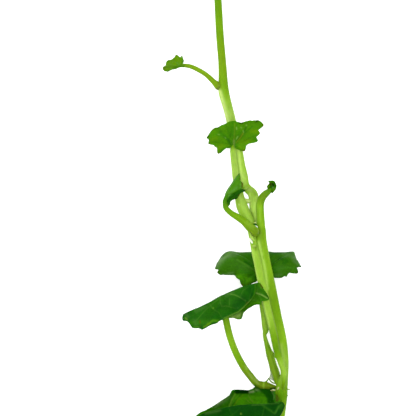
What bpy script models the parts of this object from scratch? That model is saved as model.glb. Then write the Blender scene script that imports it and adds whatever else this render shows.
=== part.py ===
"""Cut shoot of japanese cress, lying on its back on a flat surface.

+Y runs up the stem, +Z is the side that faces up, and z = 0 is the surface that it lies on. The
origin is the middle of the shoot on that surface. It rests on its cut end, the rims of the back leaf
and the bottom leaf, and its tip. All places and sizes below are in millimetres.
"""
import bpy
import bmesh
from mathutils import Vector

MILLIMETRE = 0.001
LEAF_THICKNESS = 0.3

# How finely curves and leaves are divided
STEM_STEPS = 2          # pieces between two points of a stem or stalk
STEM_ROUNDNESS = 2      # bevel resolution, which gives eight sides
SECTOR_STEPS = 2        # columns of faces between two ribs of a leaf
RIB_STEPS = 4           # faces along a rib, from the leaf's junction to its margin

# Stems and stalks: (x, y, z, radius) from the base up
STEM_LOWER = [
    (9.1, -51.2, 1.1, 1.1), (9.4, -47.6, 2.1, 1.1), (9.7, -44.0, 3.0, 1.0),
    (9.98, -41.2, 3.7, 1.03), (10.1, -38.6, 4.3, 1.1), (10.5, -35.6, 4.95, 0.85),
    (10.35, -33.2, 5.5, 1.06), (10.1, -30.4, 6.1, 1.1), (9.7, -27.8, 6.6, 1.1),
    (8.9, -24.2, 7.2, 1.1), (8.3, -21.2, 7.7, 1.1), (7.7, -18.2, 8.2, 1.1),
    (6.95, -14.8, 8.7, 1.1), (6.3, -11.6, 9.1, 1.1), (5.9, -9.0, 9.4, 1.05),
    (5.85, -7.0, 9.6, 0.95),
]
STEM_UPPER = [
    (4.85, -6.4, 8.2, 0.45), (4.75, -4.6, 8.3, 0.75), (4.6, -2.4, 8.6, 0.86),
    (4.4, -0.8, 8.8, 0.92), (4.02, 0.6, 9.0, 0.9), (3.2, 1.5, 9.15, 0.72),
    (2.72, 2.4, 9.2, 0.7), (2.32, 4.0, 9.2, 0.86), (1.7, 6.4, 9.1, 0.9),
    (1.15, 9.4, 8.9, 0.94), (0.35, 12.8, 8.6, 0.94), (-0.38, 16.0, 8.2, 0.95),
    (-1.17, 19.2, 7.6, 0.97), (-1.62, 22.0, 7.0, 0.9), (-1.95, 26.8, 5.9, 0.8),
    (-2.4, 32.2, 4.6, 0.78), (-2.79, 39.2, 3.0, 0.74), (-3.14, 45.2, 1.75, 0.64),
    (-3.33, 48.2, 1.15, 0.5),
]
SHOOT_TIP = [
    (-3.32, 48.5, 1.1, 0.42), (-3.36, 49.4, 0.78, 0.76), (-3.4, 50.3, 0.8, 0.6),
    (-3.46, 51.2, 0.9, 0.12),
]
TINY_LEAF_STALK = [
    (-3.3, 22.58, 7.0, 0.56), (-3.95, 23.18, 7.0, 0.54), (-5.2, 24.3, 7.0, 0.48),
    (-6.65, 25.2, 6.95, 0.46), (-8.1, 25.87, 6.85, 0.44), (-9.2, 26.1, 6.75, 0.4),
]
FAN_LEAF_STALK = [
    (10.3, -37.2, 6.35, 0.4), (10.2, -35.4, 6.65, 0.5), (9.7, -33.2, 7.35, 0.58),
    (9.0, -31.0, 7.75, 0.66), (8.6, -29.2, 8.05, 0.68), (8.1, -26.8, 8.45, 0.7),
    (7.4, -24.0, 8.9, 0.7), (6.85, -21.8, 9.15, 0.68), (6.3, -19.0, 9.5, 0.68),
    (5.7, -16.7, 9.8, 0.68), (5.0, -13.2, 10.3, 0.68), (4.6, -11.4, 10.45, 0.66),
    (4.2, -9.4, 10.4, 0.62), (3.95, -7.6, 10.2, 0.7), (3.55, -5.3, 10.1, 0.88),
    (2.66, -3.6, 10.2, 1.1), (1.94, -1.9, 10.3, 1.12), (1.5, -0.2, 10.4, 0.94),
    (1.2, 1.6, 10.5, 0.78), (0.75, 3.8, 10.6, 0.68), (0.5, 6.0, 10.6, 0.64),
    (0.3, 8.0, 10.6, 0.64), (0.2, 9.1, 10.6, 0.6),
]
FOLDED_LEAF_STALK = [
    (4.45, -6.9, 12.0, 0.85), (3.5, -6.2, 12.2, 0.86), (2.4, -5.1, 12.3, 0.76),
    (1.15, -4.25, 12.4, 0.68), (-0.15, -3.45, 12.5, 0.58), (-1.2, -2.4, 12.6, 0.53),
    (-1.58, -1.5, 12.68, 0.46), (-1.62, -1.05, 12.72, 0.4),
]
CURLED_LEAF_STALK = [
    (5.84, -6.7, 9.65, 0.85), (5.65, -3.8, 10.1, 0.8), (5.58, -2.0, 10.4, 0.8),
    (5.8, -0.8, 10.6, 0.78), (6.32, 0.05, 10.8, 0.74), (6.9, 0.6, 10.95, 0.68),
    (7.28, 0.9, 11.0, 0.58),
]
BACK_LEAF_STALK = [
    (8.8, -36.3, 4.1, 0.55), (8.72, -35.4, 4.25, 0.74), (8.36, -34.1, 4.55, 0.79),
    (7.88, -32.9, 4.8, 0.72), (7.62, -31.7, 5.0, 0.74), (7.22, -30.5, 5.25, 0.58),
    (6.57, -28.0, 5.7, 0.38),
    (6.66, -26.95, 5.9, 0.54), (6.4, -24.0, 6.2, 0.6), (6.05, -21.8, 6.3, 0.56),
    (5.9, -19.2, 6.2, 0.54), (6.0, -17.2, 6.0, 0.5), (6.05, -16.3, 6.0, 0.42),
]
FRONT_LEAF_STALK = [
    (8.25, -38.2, 4.65, 0.38), (7.6, -38.08, 4.85, 0.55), (6.9, -37.97, 5.05, 0.7),
    (5.9, -37.87, 5.35, 0.74),
    (4.9, -37.5, 5.8, 0.72), (3.75, -36.15, 6.6, 0.7), (2.3, -34.2, 7.45, 0.7),
    (0.72, -31.2, 8.6, 0.68), (-0.45, -28.0, 9.4, 0.68), (-1.2, -24.8, 9.8, 0.68),
    (-1.68, -22.4, 10.0, 0.6), (-1.87, -21.3, 10.1, 0.5),
]
BOTTOM_LEAF_STALK = [
    (7.74, -49.2, 1.9, 0.45), (6.4, -49.8, 2.2, 0.55), (4.8, -49.6, 2.6, 0.55),
    (3.6, -48.5, 3.0, 0.45),
]

# Leaf blades: the junction with the stalk, then the ribs in order round the leaf, each with its
# middle, its tip on the margin and the depth of the notch that follows it, as a share of the rib
TINY_LEAF_JUNCTION = (-10.1, 26.25, 6.75)
TINY_LEAF_RIBS = [
    ((-9.9, 27.0, 7.0), (-9.85, 27.9, 7.6), 0.12),
    ((-10.6, 27.1, 7.2), (-11.1, 28.25, 8.0), 0.14),
    ((-11.4, 26.7, 7.2), (-12.5, 27.2, 8.1), 0.06),
    ((-11.7, 26.4, 7.1), (-13.2, 26.5, 7.9), 0.08),
    ((-11.9, 26.0, 6.8), (-13.8, 25.5, 7.3), 0.04),
    ((-11.6, 25.7, 6.3), (-13.0, 24.9, 6.5), 0.02),
    ((-11.2, 25.65, 5.9), (-12.2, 25.5, 5.2), 0.1),
    ((-10.9, 26.0, 5.8), (-11.9, 26.6, 4.8), 0.1),
    ((-10.4, 26.4, 6.0), (-10.6, 27.2, 5.2), 0.1),
    ((-9.95, 26.5, 6.5), (-9.75, 26.8, 6.3), 0.0),
]
FAN_LEAF_JUNCTION = (0.2, 10.15, 11.1)
FAN_LEAF_RIBS = [
    ((0.1, 9.9, 11.0), (0.1, 9.55, 10.9), 0.0),
    ((-0.7, 9.9, 11.1), (-1.5, 9.35, 10.9), 0.0),
    ((-1.2, 9.8, 11.3), (-2.7, 8.5, 10.9), 0.16),
    ((-2.2, 10.5, 11.8), (-4.7, 10.45, 11.7), 0.07),
    ((-2.4, 11.2, 12.3), (-5.2, 11.5, 12.2), 0.02),
    ((-1.8, 12.1, 13.0), (-3.7, 13.5, 13.5), 0.02),
    ((-1.2, 12.3, 13.2), (-2.7, 13.8, 13.9), 0.0),
    ((-0.3, 12.7, 13.4), (-0.7, 14.9, 14.8), 0.0),
    ((0.6, 12.7, 13.4), (0.9, 15.0, 15.0), 0.03),
    ((1.9, 12.7, 13.4), (3.6, 15.1, 15.0), 0.0),
    ((2.8, 12.6, 13.2), (5.1, 15.1, 14.6), 0.02),
    ((3.3, 12.1, 12.9), (6.3, 14.2, 13.9), 0.1),
    ((3.0, 11.4, 12.4), (5.6, 12.6, 13.0), 0.1),
    ((2.6, 10.8, 12.0), (5.2, 11.2, 12.2), 0.16),
    ((1.4, 9.9, 11.5), (2.6, 9.0, 11.3), 0.03),
    ((0.7, 9.9, 11.1), (1.1, 9.4, 10.95), 0.0),
]
FOLDED_LEAF_JUNCTION = (-1.2, 0.1, 12.9)
FOLDED_LEAF_RIBS = [
    ((0.2, 2.3, 13.4), (1.65, 4.4, 13.1), 0.03),
    ((0.5, 1.9, 13.7), (2.0, 3.2, 13.4), 0.05),
    ((0.5, 1.4, 13.8), (2.3, 2.3, 13.6), 0.07),
    ((0.3, 0.9, 13.5), (1.95, 1.35, 13.3), 0.02),
    ((0.5, 0.6, 13.0), (2.6, 1.15, 12.6), 0.08),
    ((0.0, 0.1, 12.9), (1.4, 0.1, 12.3), 0.05),
    ((-0.2, -0.3, 12.8), (1.0, -0.65, 12.2), 0.06),
    ((-0.7, -0.6, 12.7), (-0.3, -1.5, 12.2), 0.06),
    ((-0.95, -0.8, 12.7), (-0.75, -2.1, 12.2), 0.03),
    ((-1.1, -0.3, 12.8), (-1.1, -0.8, 12.7), 0.0),
    ((-1.3, 0.3, 12.5), (-1.2, 0.7, 12.0), 0.03),
    ((-0.5, 1.6, 12.5), (0.0, 2.6, 11.9), 0.03),
]
CURLED_LEAF_JUNCTION = (7.75, 1.45, 10.9)
CURLED_LEAF_RIBS = [
    ((7.35, 1.9, 11.3), (7.0, 1.75, 11.9), 0.1),
    ((7.5, 2.2, 11.1), (7.15, 2.7, 12.0), 0.06),
    ((7.9, 2.3, 10.9), (7.9, 3.0, 11.8), 0.04),
    ((8.25, 2.2, 10.8), (8.45, 2.8, 11.6), 0.04),
    ((8.45, 1.8, 10.8), (8.8, 2.0, 11.5), 0.05),
    ((8.3, 1.3, 10.8), (8.6, 1.1, 11.4), 0.05),
    ((8.0, 1.0, 10.9), (8.0, 0.65, 11.4), 0.05),
    ((7.6, 1.3, 10.95), (7.45, 1.25, 11.3), 0.05),
]
BACK_LEAF_JUNCTION = (6.05, -15.5, 6.85)
BACK_LEAF_RIBS = [
    ((5.5, -16.1, 6.9), (4.9, -17.0, 6.8), 0.0),
    ((4.7, -16.3, 7.1), (3.8, -17.3, 7.0), 0.0),
    ((4.1, -16.3, 7.4), (2.7, -18.2, 7.2), 0.03),
    ((3.5, -15.9, 7.6), (1.6, -17.2, 7.4), 0.04),
    ((3.1, -15.2, 7.9), (0.6, -16.1, 7.6), 0.03),
    ((1.7, -14.1, 8.1), (-2.1, -15.75, 6.9), 0.04),
    ((1.3, -13.3, 7.8), (-3.4, -14.5, 5.9), 0.04),
    ((1.4, -12.0, 6.9), (-2.4, -13.0, 3.9), 0.05),
    ((1.8, -12.0, 5.8), (-0.45, -11.4, 2.4), 0.06),
    ((4.2, -11.4, 5.2), (2.9, -13.8, 0.1), 0.06),
    ((6.3, -11.35, 5.0), (6.3, -14.3, 0.6), 0.06),
    ((8.4, -11.4, 5.2), (9.8, -13.9, 0.1), 0.06),
    ((10.4, -12.0, 5.9), (12.3, -11.4, 2.2), 0.05),
    ((10.8, -12.3, 6.8), (13.1, -13.0, 3.8), 0.05),
    ((10.6, -13.4, 7.4), (13.8, -14.1, 5.4), 0.05),
    ((10.2, -14.3, 7.6), (13.3, -15.3, 6.3), 0.06),
    ((9.2, -15.0, 7.5), (11.0, -16.1, 6.9), 0.03),
    ((8.4, -15.5, 7.3), (9.6, -16.4, 7.0), 0.02),
    ((7.3, -15.7, 7.0), (8.3, -16.3, 6.9), 0.0),
    ((6.3, -15.8, 6.85), (6.6, -16.1, 6.8), 0.0),
]
FRONT_LEAF_JUNCTION = (-1.9, -19.9, 11.0)
FRONT_LEAF_RIBS = [
    ((-5.8, -22.0, 12.0), (-9.7, -23.6, 12.0), 0.02),
    ((-5.9, -22.8, 12.7), (-9.9, -24.9, 12.6), 0.07),
    ((-5.0, -23.6, 13.2), (-7.9, -26.4, 13.4), 0.04),
    ((-4.0, -23.9, 13.4), (-6.0, -26.8, 13.9), 0.03),
    ((-3.1, -23.4, 13.4), (-4.2, -25.75, 14.0), 0.02),
    ((-2.2, -23.0, 13.3), (-2.6, -25.1, 13.9), 0.02),
    ((-1.0, -22.4, 13.0), (-0.3, -24.1, 13.5), 0.0),
    ((-0.2, -22.0, 12.8), (1.4, -23.2, 13.0), 0.0),
    ((1.0, -20.7, 12.4), (3.9, -20.7, 12.2), 0.0),
    ((1.4, -19.8, 12.1), (4.75, -19.0, 11.8), 0.0),
    ((1.6, -18.5, 11.5), (5.0, -17.4, 11.3), 0.0),
    ((2.2, -18.35, 10.8), (5.9, -18.0, 10.9), 0.04),
    ((3.0, -18.9, 10.2), (7.3, -20.6, 10.8), 0.07),
    ((2.6, -19.8, 9.7), (5.8, -21.9, 10.4), 0.03),
    ((1.6, -20.4, 9.3), (3.9, -22.4, 9.9), 0.08),
    ((0.5, -20.9, 8.6), (1.7, -24.6, 9.0), 0.04),
    ((-0.9, -20.9, 8.0), (-0.5, -24.4, 7.0), 0.06),
    ((-2.8, -21.0, 7.8), (-4.0, -24.6, 5.8), 0.06),
    ((-4.6, -21.75, 8.8), (-7.0, -24.8, 7.6), 0.06),
    ((-5.6, -22.15, 10.6), (-9.2, -24.3, 10.4), 0.05),
]
BOTTOM_LEAF_JUNCTION = (3.2, -47.3, 3.6)
BOTTOM_LEAF_RIBS = [
    ((-3.2, -46.6, 4.6), (-9.0, -45.0, 5.2), 0.05),
    ((-1.6, -46.2, 6.6), (-5.4, -43.4, 7.4), 0.03),
    ((1.0, -45.8, 7.6), (-0.6, -42.2, 9.0), 0.02),
    ((3.4, -45.6, 7.9), (3.4, -41.7, 9.4), 0.0),
    ((5.2, -45.7, 7.6), (6.6, -41.5, 9.2), 0.02),
    ((7.3, -45.4, 6.8), (10.0, -41.2, 8.2), 0.03),
    ((8.0, -45.4, 6.0), (10.5, -42.0, 7.2), 0.05),
    ((7.1, -44.7, 4.4), (9.15, -40.1, 5.6), 0.03),
    ((6.9, -43.8, 2.6), (8.45, -38.9, 3.9), 0.03),
    ((5.6, -43.4, 1.2), (6.6, -38.25, 2.8), 0.03),
    ((4.4, -43.3, 0.5), (4.4, -38.1, 2.2), 0.04),
    ((3.2, -43.3, 0.2), (3.0, -38.8, 2.0), 0.02),
    ((1.4, -43.4, 0.17), (0.4, -38.7, 1.8), 0.04),
    ((0.0, -43.7, 0.5), (-0.6, -39.9, 1.6), 0.04),
    ((-1.6, -44.6, 1.2), (-3.6, -41.9, 2.2), 0.04),
    ((-2.8, -45.6, 2.4), (-6.2, -43.4, 3.2), 0.04),
]


def clear_scene():
    for thing in list(bpy.data.objects):
        bpy.data.objects.remove(thing)


def plant_material(name, colour, roughness):
    material = bpy.data.materials.new(name)
    material.use_nodes = True
    shader = material.node_tree.nodes["Principled BSDF"]
    shader.inputs["Base Color"].default_value = (*colour, 1.0)
    shader.inputs["Roughness"].default_value = roughness
    shader.inputs["Metallic"].default_value = 0.0
    material.diffuse_color = (*colour, 1.0)
    return material


def between(before, start, end, after, share):
    """The Catmull-Rom point that lies a share of the way from start to end."""
    return 0.5 * (
        2.0 * start
        + (end - before) * share
        + (2.0 * before - 5.0 * start + 4.0 * end - after) * share**2
        + (3.0 * start - before - 3.0 * end + after) * share**3
    )


def smooth_line(points, steps):
    """Points of a smooth open curve through the given ones, with their radii in step."""
    knots = [Vector(point) for point in points]
    line = []
    for index in range(len(knots) - 1):
        before = knots[max(index - 1, 0)]
        after = knots[min(index + 2, len(knots) - 1)]
        for step in range(steps):
            line.append(between(before, knots[index], knots[index + 1], after, step / steps))
    line.append(knots[-1])
    return line


def add_stalk(name, points, material):
    """A round tube with flat ends, whose origin is at its base."""
    curve = bpy.data.curves.new(name, "CURVE")
    curve.dimensions = "3D"
    curve.bevel_depth = MILLIMETRE
    curve.bevel_resolution = STEM_ROUNDNESS
    curve.use_fill_caps = True
    curve.materials.append(material)
    line = smooth_line(points, STEM_STEPS)
    base = line[0].to_3d()
    spline = curve.splines.new("POLY")
    spline.points.add(len(line) - 1)
    for point, place in zip(spline.points, line):
        point.co = (*((place.to_3d() - base) * MILLIMETRE), 1.0)
        point.radius = place[3]
    stalk = bpy.data.objects.new(name, curve)
    stalk.location = base * MILLIMETRE
    bpy.context.collection.objects.link(stalk)
    return stalk


def ring_value(values, index, share):
    """The smooth value a share of the way from one rib to the next, round the closed leaf."""
    count = len(values)
    near = [Vector(values[(index + offset) % count]) for offset in (-1, 0, 1, 2)]
    return between(*near, share)


def rib_point(junction, middle, tip, along):
    """A point of the curved rib that starts at the junction and passes through its middle."""
    bend = 2.0 * middle - 0.5 * (junction + tip)
    return (1 - along) ** 2 * junction + 2 * along * (1 - along) * bend + along**2 * tip


def blade_columns(junction, ribs):
    """One column of points for each direction round the leaf, without the junction itself."""
    middles = [rib[0] for rib in ribs]
    tips = [rib[1] for rib in ribs]
    columns = []
    for index, rib in enumerate(ribs):
        for step in range(SECTOR_STEPS):
            share = step / SECTOR_STEPS
            middle = ring_value(middles, index, share)
            tip = ring_value(tips, index, share)
            reach = 1.0 - rib[2] * 4.0 * share * (1.0 - share)
            rings = [reach * ring / RIB_STEPS for ring in range(1, RIB_STEPS + 1)]
            columns.append([rib_point(junction, middle, tip, along) for along in rings])
    return columns


def add_blade(name, junction, ribs, material):
    """A leaf blade: a sheet of faces round the junction, made solid with the leaf's thickness."""
    centre = Vector(junction)
    sheet = bmesh.new()
    hub = sheet.verts.new((0.0, 0.0, 0.0))
    columns = [
        [sheet.verts.new((point - centre) * MILLIMETRE) for point in column]
        for column in blade_columns(centre, ribs)
    ]
    for index, column in enumerate(columns):
        following = columns[(index + 1) % len(columns)]
        sheet.faces.new((hub, following[0], column[0]))
        for ring in range(RIB_STEPS - 1):
            sheet.faces.new((column[ring], following[ring], following[ring + 1], column[ring + 1]))
    mesh = bpy.data.meshes.new(name)
    sheet.to_mesh(mesh)
    sheet.free()
    mesh.shade_smooth()
    mesh.materials.append(material)
    blade = bpy.data.objects.new(name, mesh)
    blade.location = centre * MILLIMETRE
    bpy.context.collection.objects.link(blade)
    solid = blade.modifiers.new("Thickness", "SOLIDIFY")
    solid.thickness = LEAF_THICKNESS * MILLIMETRE
    solid.offset = 0.0
    return blade


def build_shoot():
    clear_scene()
    stem_green = plant_material("stem_green", (0.26, 0.46, 0.04), 0.42)
    stalk_green = plant_material("stalk_green", (0.22, 0.42, 0.03), 0.45)
    leaf_green = plant_material("leaf_green", (0.02, 0.13, 0.008), 0.5)
    young_green = plant_material("young_leaf_green", (0.07, 0.25, 0.01), 0.5)

    add_stalk("stem_lower", STEM_LOWER, stem_green)
    add_stalk("stem_upper", STEM_UPPER, stem_green)
    add_stalk("shoot_tip", SHOOT_TIP, young_green)

    add_stalk("tiny_leaf_stalk", TINY_LEAF_STALK, stalk_green)
    add_stalk("fan_leaf_stalk", FAN_LEAF_STALK, stalk_green)
    add_stalk("folded_leaf_stalk", FOLDED_LEAF_STALK, stalk_green)
    add_stalk("curled_leaf_stalk", CURLED_LEAF_STALK, stalk_green)
    add_stalk("back_leaf_stalk", BACK_LEAF_STALK, stalk_green)
    add_stalk("front_leaf_stalk", FRONT_LEAF_STALK, stalk_green)
    add_stalk("bottom_leaf_stalk", BOTTOM_LEAF_STALK, stalk_green)

    add_blade("tiny_leaf_blade", TINY_LEAF_JUNCTION, TINY_LEAF_RIBS, young_green)
    add_blade("fan_leaf_blade", FAN_LEAF_JUNCTION, FAN_LEAF_RIBS, young_green)
    add_blade("folded_leaf_blade", FOLDED_LEAF_JUNCTION, FOLDED_LEAF_RIBS, young_green)
    add_blade("curled_leaf_blade", CURLED_LEAF_JUNCTION, CURLED_LEAF_RIBS, young_green)
    add_blade("back_leaf_blade", BACK_LEAF_JUNCTION, BACK_LEAF_RIBS, leaf_green)
    add_blade("front_leaf_blade", FRONT_LEAF_JUNCTION, FRONT_LEAF_RIBS, leaf_green)
    add_blade("bottom_leaf_blade", BOTTOM_LEAF_JUNCTION, BOTTOM_LEAF_RIBS, leaf_green)


build_shoot()
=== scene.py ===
"""Looks of a cut shoot of japanese cress that lies on its back on a white studio floor.

Places and sizes are in millimetres in the frame of the solids: +Y runs up the stem, +Z faces up, and
the camera looks straight down. A finer skin along the same curves stands for each solid.
"""
import math
import random

import bpy
import numpy as np
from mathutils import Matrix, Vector, kdtree, noise


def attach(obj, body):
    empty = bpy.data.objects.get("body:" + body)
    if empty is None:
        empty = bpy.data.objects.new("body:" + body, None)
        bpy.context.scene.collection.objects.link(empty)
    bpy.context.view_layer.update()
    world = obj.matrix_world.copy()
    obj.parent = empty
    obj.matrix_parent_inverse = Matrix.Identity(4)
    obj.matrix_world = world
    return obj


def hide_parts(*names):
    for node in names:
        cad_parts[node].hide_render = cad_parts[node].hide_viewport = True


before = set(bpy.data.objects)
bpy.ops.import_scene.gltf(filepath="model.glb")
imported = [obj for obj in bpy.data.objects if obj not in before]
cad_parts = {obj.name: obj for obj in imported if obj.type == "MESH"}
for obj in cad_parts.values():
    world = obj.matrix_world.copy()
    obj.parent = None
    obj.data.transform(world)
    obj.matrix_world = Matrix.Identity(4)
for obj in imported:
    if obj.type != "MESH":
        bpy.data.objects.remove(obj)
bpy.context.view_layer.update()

MILLIMETRE = 0.001

# The picture: places that were read from it are in its pixels, and the part is drawn 5 pixels to a millimetre
PIXEL = 0.2
PICTURE_MIDDLE = (208.0, 208.0)
CAMERA_LENS = 500.0
CAMERA_SENSOR = 36.0
CAMERA_AIM = (-4.8, -2.4, 8.0)      # what the middle of the picture shows
PICTURE_SIDE = 83.2                 # width of the square picture at the height of the aim
CAMERA_DISTANCE = PICTURE_SIDE * CAMERA_LENS / CAMERA_SENSOR
CAMERA_CLIP = (0.01, 10.0)          # nearest and furthest that it sees, in metres

# How finely skins are divided
LINE_STEPS = 12         # steps between two given points of a stem, stalk or vein
STALK_SIDES = 44        # faces round a stem or stalk
SPRIG_SIDES = 16        # faces round a small piece
SECTOR_STEPS = 18       # columns of faces between two ribs of a leaf
RIB_STEPS = 52          # rings of points along a rib, from the leaf's junction to its margin
VEIN_STEP = 0.05        # distance between two of the points that a vein is measured from
FILM_LINE_STEPS = 4     # steps between two given points of a film's edge
FILM_STEPS = 5          # points across a film

# Relief of leaves and stalks
LEAF_THICKNESS = 0.26
MARGIN_THINNING = 0.5   # share of the thickness that is gone at the margin
RIM_ROUNDING = 0.4      # how far the rim stands out, as a share of the thickness
BLADE_START = 0.03      # where ribs start, as a share of the way out from the junction
VEIN_GROOVE = 0.05      # depth of a main vein in the upper side
VEIN_RIDGE = 0.11       # height of a main vein on the underside
MAIN_VEIN_WIDTH = 0.13
SIDE_VEIN_WIDTH = 0.075
SIDE_VEIN_SHARE = 0.45  # how strong a side vein is beside a main one
VEIN_WIDEST = 1.25      # a vein's width at the junction, as a share of its usual one
VEIN_TAPER = 0.6        # how much less that is at the margin
VEIN_END = 1.02         # where veins have faded out, and over how much of the way out they fade
VEIN_FADE = 0.1
PUCKER = 0.1            # how far the blade bulges up between its veins
PUCKER_GAP = 0.91       # distance from a main vein over which the bulge comes up
WAVE = 0.07             # height and width of the blade's slow waves
WAVE_SIZE = 1.7
HUB_FADE = 2.5          # distances from the junction and the margin over which the relief comes up
MARGIN_FADE = 0.8
RIDGE_DEPTH = 0.02      # how far the ridges of a stalk stand out, as a share of its radius
SPRIG_RIDGES = 3
SPRIG_RIDGE_DEPTH = 0.08
FILM_THICKNESS = 0.05
FILM_ROUGHNESS = 0.6
FILM_ALPHA = 0.6        # how much of what is behind the film it hides

# How a leaf's margin is fitted to the picture
REACH_LOW = 0.6         # nearest and furthest that the margin may lie, as shares of the way to a rib's tip
REACH_HIGH = 1.35
REACH_TRIES = 151
REACH_COST = 1.5        # pixels of miss that a margin 1 whole share off a rib's tip counts as
PLACE_WINDOW = 1.6      # ribs that two neighbouring points of the margin may be apart
MISS_LIMIT = 1.6        # pixels by which the margin may miss a spot that it follows

# Paint on the skins
SOFT = 2                # how fast a stroke fades at its edge
CRISP = 6
VEIN_PAINT = 0.8        # share of its own colour in a vein
TINT_CURVE = 1.5        # how late the margin's colour takes over on the way out
RIM_SHARES = (0.3, 0.7)     # how much of the far side's colour and of the near side's the rim has

# Light
WORLD_LIGHT = 0.85
# Each lamp's name, place, side and power
LAMPS = [
    ("top_light", (0.0, 0.0, 1500.0), 500.0, 11.0),
    ("key_light", (-420.0, 420.0, 620.0), 520.0, 3.0),
    ("fill_light", (480.0, -160.0, 560.0), 500.0, 0.75),
]
WHITE = (1.0, 1.0, 1.0, 1.0)
DULL = 0.1              # how strongly a dull surface mirrors
FLOOR_SIDE = 6000.0
FLOOR_COLOUR = (0.9, 0.9, 0.9, 1.0)
FLOOR_ROUGHNESS = 0.9
FLOOR_GLOW = 0.35       # the floor is a lit table, which keeps its shadows pale
FULL_LIGHT = 1.6        # how many times its own colour a surface in full light shows


def shown(red, green, blue):
    """The base colour of a surface that shows this screen colour (0 to 255) in full light."""
    return tuple((channel / 255) ** 2.2 / FULL_LIGHT for channel in (red, green, blue))


# Greens and browns
PALEST_GREEN = shown(214, 242, 136)
PALE_GREEN = shown(184, 226, 96)
# Painted highlight on the stems
HIGHLIGHT_STRIPE = shown(206, 246, 112)
SOFT_GREEN = shown(172, 212, 88)
LIGHT_GREEN = shown(156, 202, 62)
FRESH_GREEN = shown(138, 188, 34)
STEM_GREEN = shown(122, 172, 20)
DEEP_STEM_GREEN = shown(108, 160, 14)
MOSS_GREEN = shown(112, 152, 26)
MILKY_GREEN = shown(192, 220, 120)
OLIVE_GREEN = shown(110, 138, 22)
STALK_OLIVE = shown(128, 168, 22)
CLASP_GREEN = shown(122, 160, 28)
YOUNG_LEAF = shown(80, 144, 10)
YOUNG_LEAF_DARK = shown(58, 126, 8)
YELLOW_LEAF = shown(104, 156, 10)
FOLDED_LEAF = shown(76, 140, 22)
FOLDED_SHEEN = shown(92, 150, 58)
FOLDED_DARK = shown(36, 98, 6)
DARK_LEAF = shown(42, 104, 12)
BACK_LEAF_GREEN = shown(54, 110, 10)
DARKER_LEAF = shown(26, 92, 6)
DARKEST_LEAF = shown(14, 74, 3)
BLACK_LEAF = shown(3, 52, 3)
LOBE_GREEN = shown(48, 116, 6)
# Painted sheen on the leaves
GREY_SHEEN = shown(88, 130, 62)
LEAF_UNDERSIDE = shown(60, 118, 18)
GLOWING_LEAF = shown(58, 132, 8)
BRIGHT_LEAF = shown(90, 170, 16)
LEAF_VEIN = shown(62, 122, 30)
# Veins, and a painted highlight along a fold
PALE_VEIN_AND_HIGHLIGHT = shown(96, 148, 52)
SPECK_GREEN = shown(156, 200, 90)
STRIPE_GREEN = shown(110, 158, 48)
BROWN = shown(74, 54, 16)
OLIVE_BROWN = shown(78, 98, 14)
RED_BROWN = shown(92, 60, 14)
BLACK_TIP = shown(24, 44, 6)
GREY_BROWN = shown(140, 166, 76)
NODE_PURPLE = shown(112, 118, 56)
CREAM = shown(204, 204, 142)
# The bud and the stipule lie in the fork's shade, so they are paler than they show
WHITE_BUD = (0.86, 0.95, 0.8)
STIPULE_WHITE = (0.66, 0.78, 0.56)
# The node's dry film, and painted sheen on the bottom leaf
FILM_AND_SHEEN_GREEN = shown(160, 182, 124)


# Curves

def between(before, start, end, after, share):
    """The Catmull-Rom point that lies a share of the way from start to end."""
    return 0.5 * (
        2.0 * start
        + (end - before) * share
        + (2.0 * before - 5.0 * start + 4.0 * end - after) * share**2
        + (3.0 * start - before - 3.0 * end + after) * share**3
    )


def smooth_line(points, steps):
    """Points of a smooth open curve through the given ones, with their other values in step."""
    knots = np.array(points, float)
    last = len(knots) - 1
    line = []
    for index in range(last):
        before = knots[max(index - 1, 0)]
        after = knots[min(index + 2, last)]
        for step in range(steps):
            line.append(between(before, knots[index], knots[index + 1], after, step / steps))
    line.append(knots[last])
    return np.array(line)


def unit(vectors):
    """The directions of vectors, each of length 1."""
    lengths = np.linalg.norm(vectors, axis=-1, keepdims=True)
    return vectors / np.maximum(lengths, 1e-9)


def on_picture(places):
    """Where the camera sees these places, in pixels of the picture."""
    nearer = CAMERA_DISTANCE / (CAMERA_DISTANCE + CAMERA_AIM[2] - places[..., 2])
    across = (places[..., 0] - CAMERA_AIM[0]) * nearer / PIXEL
    down = (CAMERA_AIM[1] - places[..., 1]) * nearer / PIXEL
    return np.stack([PICTURE_MIDDLE[0] + across, PICTURE_MIDDLE[1] + down], axis=-1)


def seen_at(across, down, height):
    """The place at this height that the camera sees at a pixel of the picture."""
    further = (CAMERA_DISTANCE + CAMERA_AIM[2] - height) / CAMERA_DISTANCE * PIXEL
    x = CAMERA_AIM[0] + (across - PICTURE_MIDDLE[0]) * further
    y = CAMERA_AIM[1] + (PICTURE_MIDDLE[1] - down) * further
    return x, y, height


def distance_to(path, spots):
    """How far spots on the picture are from a path there, in pixels."""
    path = np.array(path, float).reshape(-1, 2)
    nearest = np.linalg.norm(spots - path[0], axis=-1)
    for start, end in zip(path[:-1], path[1:]):
        along = end - start
        share = np.clip((spots - start) @ along / (along @ along), 0.0, 1.0)
        nearest = np.minimum(nearest, np.linalg.norm(spots - start - share[..., None] * along, axis=-1))
    return nearest


# Paint

def blend(tint, colour, weight):
    """The tint with as much of the colour in it as the weight says."""
    return tint + (np.array(colour) - tint) * weight[..., None]


def paint(tint, spots, strokes):
    """Lays strokes over a skin: each is a path on the picture, its half width, colour and strength.

    Its edge is soft, or as crisp as a fifth value says.
    """
    for path, reach, colour, strength, *edge in strokes:
        weight = strength * np.exp(-((distance_to(path, spots) / reach) ** (edge[0] if edge else SOFT)))
        tint = blend(tint, colour, weight)
    return tint


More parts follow.
